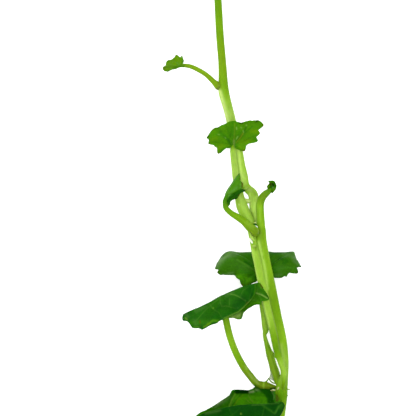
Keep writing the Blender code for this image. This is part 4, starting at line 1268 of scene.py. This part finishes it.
FRONT_LEAF_STALK = dict(
    node="front_leaf_stalk", slot="leaf_stalk",
    points=[
        (9.8, -38.6, 4.3, 0.3), (8.9, -38.45, 4.5, 0.36), (8.25, -38.3, 4.65, 0.46),
        (7.6, -38.16, 4.85, 0.6), (6.9, -37.97, 5.05, 0.7), (5.9, -37.87, 5.35, 0.74),
        (4.9, -37.5, 5.8, 0.72), (3.75, -36.15, 6.6, 0.7), (2.3, -34.2, 7.45, 0.7),
        (0.72, -31.2, 8.6, 0.68), (-0.45, -28, 9.4, 0.68), (-1.2, -24.8, 9.8, 0.68),
        (-1.68, -22.4, 10, 0.6), (-1.87, -21.3, 10.1, 0.5), (-1.9, -20.7, 10.3, 0.4),
        (-1.9, -20.3, 10.6, 0.2),
    ],
    tints=[
        (-37.8, OLIVE_GREEN), (-37, CLASP_GREEN), (-35, CLASP_GREEN), (-33, STEM_GREEN), (-29, FRESH_GREEN),
        (-22, STEM_GREEN),
    ],
    strokes=[
        ([(245.6, 366), (247, 368.5)], 1.2, SOFT_GREEN, 0.6),
        ([(249.5, 374), (252.5, 378)], 1.4, GREY_BROWN, 0.6),
        ([(255, 380), (258, 382.5)], 1.6, GREY_BROWN, 0.7),
        ([(254.6, 385.5), (258.4, 387.6)], 1.5, DARK_LEAF, 0.9),
        ([(258, 386), (262, 388.5)], 0.9, OLIVE_GREEN, 0.6),
        ([(263.6, 383), (263.6, 388)], 1, LIGHT_GREEN, 0.55),
        ([(266.5, 383), (270, 386)], 1.2, OLIVE_GREEN, 0.6),
        # Painted shade under the stalk's foot at the node
        ([(270.5, 388.4), (276, 388)], 0.9, BLACK_LEAF, 0.9),
        ([(262, 381.6), (266, 381.8)], 0.8, STEM_GREEN, 0.7),
        ([(231, 332), (236, 346), (243, 359)], 1.1, LIGHT_GREEN, 0.4),
    ],
)

FRONT_LEAF_BLADE = dict(
    node="front_leaf_blade", slot="leaf", facing=1, near=0, seed=16,
    junction=(-1.9, -19.9, 11),
    ribs=[
        ((-5.8, -22, 12), (-9.7, -23.6, 12), 0.02), ((-5.9, -22.8, 12.7), (-9.9, -24.9, 12.6), 0.07),
        ((-5, -23.6, 13.2), (-7.9, -26.4, 13.4), 0.04), ((-4, -23.9, 13.4), (-6, -26.8, 13.9), 0.03),
        ((-3.1, -23.4, 13.4), (-4.2, -25.75, 14), 0.02), ((-2.2, -23, 13.3), (-2.6, -25.1, 13.9), 0.02),
        ((-1, -22.4, 13), (-0.3, -24.1, 13.5), 0), ((-0.2, -22, 12.8), (1.4, -23.2, 13), 0),
        ((1, -20.7, 12.4), (3.9, -20.7, 12.2), 0), ((1.4, -19.8, 12.1), (4.75, -19, 11.8), 0),
        ((1.6, -18.5, 11.5), (5, -17.4, 11.3), 0), ((2.2, -18.35, 10.8), (5.9, -18, 10.9), 0.04),
        ((3, -18.9, 10.2), (7.3, -20.6, 10.8), 0.07), ((2.6, -19.8, 9.7), (5.8, -21.9, 10.4), 0.03),
        ((1.6, -20.4, 9.3), (3.9, -22.4, 9.9), 0.08), ((0.5, -20.9, 8.6), (1.7, -24.6, 9), 0.04),
        ((-0.9, -20.9, 8), (-0.5, -24.4, 7), 0.06), ((-2.8, -21, 7.8), (-4, -24.6, 5.8), 0.06),
        ((-4.6, -21.75, 8.8), (-7, -24.8, 7.6), 0.06), ((-5.6, -22.15, 10.6), (-9.2, -24.3, 10.4), 0.05),
    ],
    mains=(1, 3, 5, 7, 10, 12, 15, 17, 19),
    net=(0.06, 0.3),
    tints=[(DARK_LEAF, DARKER_LEAF), (LEAF_UNDERSIDE, YOUNG_LEAF_DARK)],
    veins=(PALE_VEIN_AND_HIGHLIGHT, PALE_VEIN_AND_HIGHLIGHT),
    margins=[(-0.4, [
        (182.9, 313.6), (182.6, 316), (182.5, 319), (183.2, 320.9), (186, 320.9), (188, 321.5),
        (189.8, 323.7), (191.3, 326), (192.5, 327.9), (195, 328.3), (198.5, 328), (200.5, 328.6),
        (202.2, 329.7), (204.5, 328.6), (207, 327.3), (209, 326), (211.3, 324.9), (213.8, 324.1),
        (216, 323.6), (217.6, 322.7), (219, 321.2), (221, 320.2), (224, 319.2), (230.5, 316),
        (238.8, 312.1), (245.2, 305.8), (251.5, 299.3), (254.6, 294), (255.5, 289), (255.6, 284.5),
        (257, 282.1), (259, 282.8), (260.5, 284), (261.7, 285.5), (262.8, 287.2), (263.5, 289.5),
        (265.2, 291.6), (267, 293.7), (268.3, 296), (269, 298.6), (268.3, 300), (265.5, 300.8),
        (262.5, 300.9), (261, 301.4), (260.8, 302.7), (261.6, 305), (259.5, 304.4), (257, 304.3),
        (254.5, 304.9), (251, 306.9), (247, 309.5), (244, 312), (243, 313.3), (242.8, 315.5),
        (242.2, 317.6), (241.3, 318.9), (239, 319.3), (236, 318.7), (233, 317.4),
    ])],
    seen_veins=[
        ([(228, 293.8), (235, 295.3), (240, 297.6), (245.5, 301)], 0.6, 0.8),
        ([(220, 296.8), (220.4, 303), (221.5, 306.5), (227, 306.6), (230.5, 307.5)], 0.5, 0.4),
        ([(229.6, 299), (229.8, 303.5), (229, 307)], 0.5, 0.35),
        ([(208, 303), (211, 306.5), (213.5, 309.5)], 0.5, 0.4),
        ([(222, 296), (214, 303), (205, 311), (197, 320)], 0.5, 0.25),
        ([(230.5, 307.5), (235, 308.5), (238, 308)], 0.5, 0.35),
        ([(240, 297.6), (243, 291), (248, 287.5)], 0.5, 0.25),
        ([(249, 300), (250.4, 294), (252, 289)], 0.5, 0.25),
        ([(213.5, 309.5), (219, 313), (222, 318)], 0.5, 0.25),
    ],
    strokes=[
        ([(243, 300), (236, 307)], 5, DARKEST_LEAF, 0.7), ([(249, 289), (252, 296)], 3, DARKEST_LEAF, 0.7),
        ([(226, 302), (214, 314)], 3, DARKEST_LEAF, 0.35),
        # The grey strokes on this side are painted sheen
        ([(196, 311.5), (206, 307)], 1.6, GREY_SHEEN, 0.25),
        ([(226, 296), (233, 292.6)], 1.6, GREY_SHEEN, 0.3),
        ([(186, 314.5), (188, 317)], 1.5, GREY_SHEEN, 0.35),
        ([(192, 323), (206, 322)], 3, YOUNG_LEAF_DARK, 0.6),
        ([(195, 321), (196, 325)], 2.2, GREY_SHEEN, 0.25), ([(213, 318), (219, 316)], 2, DARKER_LEAF, 0.7),
        ([(185.5, 318), (187, 319.5)], 0.9, STRIPE_GREEN, 0.7),
        ([(208, 324), (213, 320.8), (218, 321)], 1.2, YOUNG_LEAF, 0.8),
        ([(204, 327), (210, 323.5)], 0.8, YELLOW_LEAF, 0.6),
        ([(194, 327.2), (199, 327)], 0.6, YOUNG_LEAF, 0.7),
        ([(199.8, 321), (200.2, 323)], 0.6, RED_BROWN, 0.7),
        ([(200.2, 326), (200.4, 327)], 0.5, BROWN, 0.4),
        ([(209, 322.5), (209.5, 325)], 0.6, YOUNG_LEAF_DARK, 0.5),
        ([(213.3, 308.4)], 0.7, STRIPE_GREEN, 0.6), ([(246.4, 303.4), (247.6, 302.6)], 0.8, BROWN, 0.6),
        ([(255.3, 284), (255.4, 289), (254.4, 294.4), (251.3, 299.6)], 0.7, YOUNG_LEAF, 0.45),
        ([(251.3, 299.6), (245, 306), (238.7, 311.6), (230.5, 315.4),
          (224, 318.4)], 0.7, STRIPE_GREEN, 0.55),
    ],
    other_veins=[
        ([(255.9, 292.6), (261, 294), (268, 298.5)], 0.8, 1),
        ([(256, 293), (258, 289), (262, 287.5)], 0.6, 0.5),
        ([(258, 293.4), (260, 297), (261, 300.5)], 0.6, 0.5),
        ([(252, 299.5), (256, 300.5), (260, 303)], 0.6, 0.4),
        ([(237, 313.4), (239.5, 316), (241, 317.6)], 0.7, 0.6),
    ],
    other_strokes=[
        ([(257, 286), (260, 290)], 2, DARK_LEAF, 0.8), ([(262, 291), (265, 294)], 1.6, DARK_LEAF, 0.6),
        ([(260.6, 284.6), (262.4, 287.6)], 0.7, RED_BROWN, 0.8),
        ([(266.6, 295), (268.6, 297.6)], 0.7, BLACK_TIP, 0.7),
        ([(256, 296.5), (264, 299)], 1.3, LOBE_GREEN, 0.5),
        ([(257, 293), (262, 294.8), (267.4, 298)], 0.6, SPECK_GREEN, 0.5),
        ([(249, 304.6), (258, 301)], 2, DARK_LEAF, 0.6),
        ([(244, 308.6), (252, 303.4), (258, 302)], 1.6, BRIGHT_LEAF, 0.4),
        # The lobe's own pale green, painted paler still against the shade it lies in
        ([(233, 317.5), (238, 316), (241, 315)], 2.8, SPECK_GREEN, 0.9),
        ([(241.8, 314), (241.4, 318)], 0.8, LOBE_GREEN, 0.8),
        ([(242, 311), (245, 309.5)], 1.2, YOUNG_LEAF_DARK, 0.7),
        ([(260.6, 303.6)], 1, YOUNG_LEAF_DARK, 0.7),
    ],
)


# Bottom leaf: cupped, and cut off by the picture's lower edge

LOWER_NODE_SHEATH = [
    ([(277.6, 390), (277.6, 400)], 1.8, OLIVE_BROWN, 1, CRISP),
    ([(277.4, 392), (277.6, 401)], 0.4, OLIVE_BROWN, 0.7),
    ([(281, 390), (281, 399.4)], 1.9, YELLOW_LEAF, 1, CRISP),
]

BOTTOM_LEAF_STALK = dict(
    node="bottom_leaf_stalk", slot="leaf_stalk",
    points=[
        (9.2, -48.8, 1.8, 0.4), (7.85, -49.2, 1.9, 0.45), (6.4, -49.8, 2.2, 0.55), (4.8, -49.6, 2.6, 0.55),
        (3.6, -48.5, 3, 0.45), (3.4, -47.9, 3.3, 0.36), (3.2, -47.2, 3.7, 0.16),
    ],
    tints=[(-50, STEM_GREEN), (-48, DEEP_STEM_GREEN)],
)

BOTTOM_LEAF_BLADE = dict(
    node="bottom_leaf_blade", slot="leaf", facing=1, near=0, seed=17,
    junction=(3.2, -47.3, 3.6),
    ribs=[
        ((-3.2, -46.6, 4.6), (-9, -45, 5.2), 0.05), ((-1.6, -46.2, 6.6), (-5.4, -43.4, 7.4), 0.03),
        ((1, -45.8, 7.6), (-0.6, -42.2, 9), 0.02), ((3.4, -45.6, 7.9), (3.4, -41.7, 9.4), 0),
        ((5.2, -45.7, 7.6), (6.6, -41.5, 9.2), 0.02), ((7.3, -45.4, 6.8), (10, -41.2, 8.2), 0.03),
        ((8, -45.4, 6), (10.5, -42, 7.2), 0.05), ((7.1, -44.7, 4.4), (9.15, -40.1, 5.6), 0.03),
        ((6.9, -43.8, 2.6), (8.45, -38.9, 3.9), 0.03), ((5.6, -43.4, 1.2), (6.6, -38.25, 2.8), 0.03),
        ((4.4, -43.3, 0.5), (4.4, -38.1, 2.2), 0.04), ((3.2, -43.3, 0.2), (3, -38.8, 2), 0.02),
        ((1.4, -43.4, 0.17), (0.4, -38.7, 1.8), 0.04), ((0, -43.7, 0.5), (-0.6, -39.9, 1.6), 0.04),
        ((-1.6, -44.6, 1.2), (-3.6, -41.9, 2.2), 0.04), ((-2.8, -45.6, 2.4), (-6.2, -43.4, 3.2), 0.04),
    ],
    mains=(0, 2, 4, 6, 8, 10.5, 12.5, 14.5),
    net=(0.3, 0.3),
    tints=[(GLOWING_LEAF, GLOWING_LEAF), (DARKEST_LEAF, DARKEST_LEAF)],
    veins=(LEAF_VEIN, LEAF_VEIN),
    margins=[(0.7, [
        (205, 412.8), (212, 411), (220, 408.8), (228, 407), (233, 406), (240, 405.2), (249, 404.6),
        (256, 404), (264, 403.8), (271, 403.2), (276.5, 402.8), (279.5, 402.2), (281.5, 401.9),
        (283.1, 402.6), (284.1, 404), (284.7, 406.5), (284, 408.7),
    ]), (7.4, [
        (274, 390.5), (268, 388.5), (262, 387), (256, 386.2), (252.6, 388.9), (249.4, 390.2), (244, 389.9),
        (240, 389.8), (236, 389.8), (233.5, 389.9), (232.2, 390.4), (231.3, 391.7), (230.5, 393.5),
        (229.4, 395.2), (227.5, 396.7), (222, 400.2), (215, 405.1), (209, 408.4), (203, 411.8),
    ])],
    seen_veins=[
        ([(245, 405), (248, 399), (254, 395)], 0.6, 0.6), ([(262, 404), (258, 398), (252, 396)], 0.6, 0.5),
    ],
    strokes=[
        # Painted light in the cup, which the front sheet shades
        ([(240, 400), (250, 398.5), (262, 399.5)], 5.6, BRIGHT_LEAF, 0.62, CRISP),
        ([(266.5, 402.4)], 1.2, BRIGHT_LEAF, 0.8),
        ([(241, 396), (250, 395), (260, 395.5)], 1.1, GLOWING_LEAF, 0.6),
        ([(255, 399), (262, 401)], 1.6, GLOWING_LEAF, 0.5),
        ([(246, 398.4), (249.4, 402)], 0.4, STRIPE_GREEN, 0.8),
        ([(236, 391.3), (247.5, 391.3)], 2.2, BLACK_LEAF, 1, CRISP),
        ([(231, 393), (235, 390.6)], 1, DARKER_LEAF, 0.8),
        ([(255, 386.5), (262, 388)], 1.6, DARKER_LEAF, 1),
        # The grey strokes here and below, and the film-green ones, are painted sheen
        ([(256, 390), (262.4, 390.4)], 1.2, GREY_SHEEN, 0.75),
        ([(249.6, 391.9), (253.4, 391.2)], 1, FILM_AND_SHEEN_GREEN, 0.9),
        ([(255.6, 389.2), (258, 389.2)], 0.6, FILM_AND_SHEEN_GREEN, 0.5),
        ([(256.2, 391.7), (257, 391.5)], 0.5, DARKEST_LEAF, 0.7),
        ([(250, 393.7), (258, 394.2), (265, 396)], 0.7, DARK_LEAF, 0.5),
        # Painted shade on the cup's inner right end
        ([(263.4, 388.4), (268.8, 393)], 3.8, DARKER_LEAF, 1, CRISP),
        ([(268.8, 393), (271.2, 398), (272, 404)], 3.8, DARKER_LEAF, 1, CRISP),
        ([(272.4, 392), (274.4, 395.4), (274.6, 399)], 0.6, GREY_SHEEN, 0.9),
        ([(235, 394), (231.5, 400), (229, 406)], 1, STRIPE_GREEN, 0.75),
        ([(243, 394.5), (238, 399.4), (234, 405.4)], 0.5, OLIVE_GREEN, 0.6),
        ([(241, 394), (236.4, 399), (232.6, 405)], 0.6, DARK_LEAF, 0.7),
        ([(239.4, 393.6), (235, 398.4), (231, 405)], 0.4, STRIPE_GREEN, 0.3),
        ([(233, 393.6), (230, 399), (227, 405)], 0.9, DARK_LEAF, 0.7),
        ([(228, 396.5), (221, 401.6), (215, 405.6)], 2.6, GREY_SHEEN, 0.9),
        ([(222, 400.6), (217, 404)], 0.8, FILM_AND_SHEEN_GREEN, 0.4),
        ([(222, 405.5), (218, 409)], 1.8, YOUNG_LEAF_DARK, 0.5), *LOWER_NODE_SHEATH,
        ([(248.5, 395), (250.5, 399), (253, 402)], 0.5, STRIPE_GREEN, 0.6),
    ],
    other_veins=[
        ([(282.5, 403.4), (279, 406), (275, 413)], 0.8, 1),
        ([(261, 404.5), (266, 407.5), (274, 413)], 0.7, 0.9),
        ([(240, 408), (236, 412), (230, 416)], 0.6, 0.15),
    ],
    other_strokes=[
        *LOWER_NODE_SHEATH, ([(252, 404.9), (264, 404.3), (279, 403)], 0.5, PALE_VEIN_AND_HIGHLIGHT, 0.4),
        ([(242, 411), (252, 409)], 3.6, DARKEST_LEAF, 0.6),
        ([(268, 405.5), (274, 408)], 2.4, DARKEST_LEAF, 0.5),
        ([(280, 408), (282.5, 405.5)], 1.6, DARK_LEAF, 0.7),
        # Painted sheen
        ([(206, 413.5), (220, 410.5)], 1.4, GREY_SHEEN, 0.3),
        ([(240.8, 413.4), (241.2, 414.2)], 0.6, STRIPE_GREEN, 0.8),
    ],
)


# Small pieces on the fork and the crowded lower node: (name, slot, colour, spots of the picture, each
# with a height and a radius in millimetres, and strokes)

BUD_SCAR_STROKES = [
    ([(254.6, 247.3), (256.6, 246.6)], 0.6, BROWN, 0.5), ([(255.4, 244.4), (256.8, 245.6)], 0.6, BROWN, 0.4),
]

SPRIGS = [
    ("bract", "leaf_stalk", DARK_LEAF, [
        (252.6, 224, 10.8, 0.08), (253.8, 224.8, 11.1, 0.2), (255.4, 225, 11.1, 0.2),
        (256.8, 224, 10.8, 0.06),
    ]),
    ("bract_tip", "leaf_stalk", PALEST_GREEN, [
        (253.8, 222.8, 10.9, 0.06), (255, 222.7, 11, 0.12), (256.6, 223.2, 10.9, 0.05),
    ]),
    ("flower_bud", "leaf_stalk", WHITE_BUD, [
        (255.3, 226.1, 11.4, 0.14), (255.9, 227, 11.6, 0.3), (256.3, 228, 11.6, 0.3),
        (256.6, 228.9, 11.3, 0.1),
    ]),
    # The web's palest green is paler than its own, against the shade it lies in
    ("fork_web", "leaf_stalk", PALEST_GREEN, [
        (243.8, 199.4, 9.9, 0.3), (246.4, 200.8, 9.6, 0.46), (248.6, 201.2, 9.4, 0.5),
        (250.6, 201.6, 9.2, 0.3),
    ]),
    ("side_bud", "leaf_stalk", PALE_GREEN, [
        (250.4, 233.6, 11, 0.1), (251.6, 236.6, 11.25, 0.26), (253, 239.2, 11.2, 0.24),
        (254.2, 241.2, 11, 0.08),
    ]),
    ("stipule", "leaf_stalk", STIPULE_WHITE, [
        (249.6, 236.8, 10.3, 0.06), (250.4, 239.4, 10.7, 0.22), (251.8, 242, 10.9, 0.24),
        (253, 243.8, 10.9, 0.08),
    ]),
    ("bud_scar", "leaf_stalk", SOFT_GREEN, [
        (252.2, 245.8, 10.8, 0.1), (253.4, 246.2, 11, 0.26), (255, 246, 10.95, 0.26),
        (256.4, 245, 10.8, 0.1),
    ], BUD_SCAR_STROKES),
    ("node_thread_left", "leaf_stalk", MOSS_GREEN, [
        (265.4, 382.4, 5.3, 0.2), (267, 380.8, 5.1, 0.14), (268.8, 378, 4.7, 0.1),
    ]),
    ("node_thread_right", "leaf_stalk", MOSS_GREEN, [
        (268.6, 378.6, 4.6, 0.08), (270.8, 381.2, 4.7, 0.12), (273.4, 383, 4.6, 0.12),
        (276.4, 383.4, 4.5, 0.1),
    ]),
    ("old_root", "stem", CREAM, [
        (270.6, 390.5, 4.3, 0.08), (272, 390.4, 4.4, 0.13), (275, 390.2, 4.5, 0.16),
        (277.4, 389.4, 4.6, 0.2),
    ]),
    ("pale_scar", "stem", CREAM, [
        (277.4, 389.8, 5.1, 0.08), (278.2, 388.4, 5.4, 0.16), (279.2, 386.8, 5.5, 0.06),
    ]),
    ("rootlet", "stem", GREY_BROWN, [
        (286.8, 389.4, 4.9, 0.16), (288.4, 389.3, 4.9, 0.12), (290.6, 389.4, 4.9, 0.06),
    ]),
    ("root_nub", "stem", DEEP_STEM_GREEN, [
        (286.2, 395.6, 4.5, 0.14), (287.4, 395.6, 4.5, 0.14), (288, 395.6, 4.5, 0.05),
    ]),
]

NODE_FILM_EDGES = [
    [(271.4, 367, 4.9), (274, 374, 4.8), (276, 382, 4.4)],
    [(270.4, 369, 4.9), (270.2, 374, 4.9), (268.8, 378.6, 4.7)],
]

STALKS = [
    STEM_LOWER, STEM_UPPER, TINY_LEAF_STALK, FAN_LEAF_STALK, FOLDED_LEAF_STALK, CURLED_LEAF_STALK,
    BACK_LEAF_STALK, FRONT_LEAF_STALK, BOTTOM_LEAF_STALK, SHOOT_TIP,
]
BLADES = [
    TINY_LEAF_BLADE, FAN_LEAF_BLADE, FOLDED_LEAF_BLADE, CURLED_LEAF_BLADE, BACK_LEAF_BLADE,
    FRONT_LEAF_BLADE, BOTTOM_LEAF_BLADE,
]


def add_sprig(name, slot, colour, spots, strokes=()):
    """A small piece along spots of the picture: each has a height and a radius too, in millimetres."""
    points = [(*seen_at(*spot[:3]), spot[3]) for spot in spots]
    add_stalk(name, slot, points, tints=[(0.0, colour)], ridges=SPRIG_RIDGES, ridge_depth=SPRIG_RIDGE_DEPTH,
              strokes=strokes, sides=SPRIG_SIDES)


def build_shoot():
    """The stems and stalks, the blades, and the small pieces on them."""
    for stalk in STALKS:
        replace_stalk(**stalk)
    for blade in BLADES:
        add_blade(**blade)
    for sprig in SPRIGS:
        add_sprig(*sprig)
    first_edge, second_edge = [[seen_at(*spot) for spot in edge] for edge in NODE_FILM_EDGES]
    add_film("node_film", FILM_AND_SHEEN_GREEN, first_edge, second_edge)


# Studio

def build_studio():
    """A pale floor, a white world, three soft lamps and the camera."""
    scene = bpy.context.scene
    scene.view_settings.view_transform = "Standard"
    scene.view_settings.look = "None"
    world = bpy.data.worlds.new("studio")
    world.use_nodes = True
    background = world.node_tree.nodes["Background"]
    background.inputs["Color"].default_value = WHITE
    background.inputs["Strength"].default_value = WORLD_LIGHT
    scene.world = world

    half = FLOOR_SIDE / 2 * MILLIMETRE
    corners = [(-half, -half, 0), (half, -half, 0), (half, half, 0), (-half, half, 0)]
    floor_mesh = bpy.data.meshes.new("floor")
    floor_mesh.from_pydata(corners, [], [(0, 1, 2, 3)])
    floor_mesh.materials.append(floor_material())
    floor = bpy.data.objects.new("floor", floor_mesh)
    scene.collection.objects.link(floor)

    for lamp in LAMPS:
        add_light(*lamp)
    add_camera()


def add_light(name, place, side, power):
    """A square soft light that faces the shoot."""
    lamp = bpy.data.lights.new(name, "AREA")
    lamp.shape = "SQUARE"
    lamp.size = side * MILLIMETRE
    lamp.energy = power
    light = bpy.data.objects.new(name, lamp)
    light.location = Vector(place) * MILLIMETRE
    light.rotation_mode = "QUATERNION"
    light.rotation_quaternion = (-light.location).to_track_quat("-Z", "Y")
    bpy.context.scene.collection.objects.link(light)


def add_camera():
    """Looks straight down, from so far that the picture is nearly parallel."""
    lens = bpy.data.cameras.new("camera")
    lens.lens = CAMERA_LENS
    lens.sensor_width = CAMERA_SENSOR
    lens.clip_start, lens.clip_end = CAMERA_CLIP
    camera = bpy.data.objects.new("camera", lens)
    camera.location = (Vector(CAMERA_AIM) + Vector((0.0, 0.0, CAMERA_DISTANCE))) * MILLIMETRE
    bpy.context.scene.collection.objects.link(camera)
    bpy.context.scene.camera = camera


build_shoot()
build_studio()
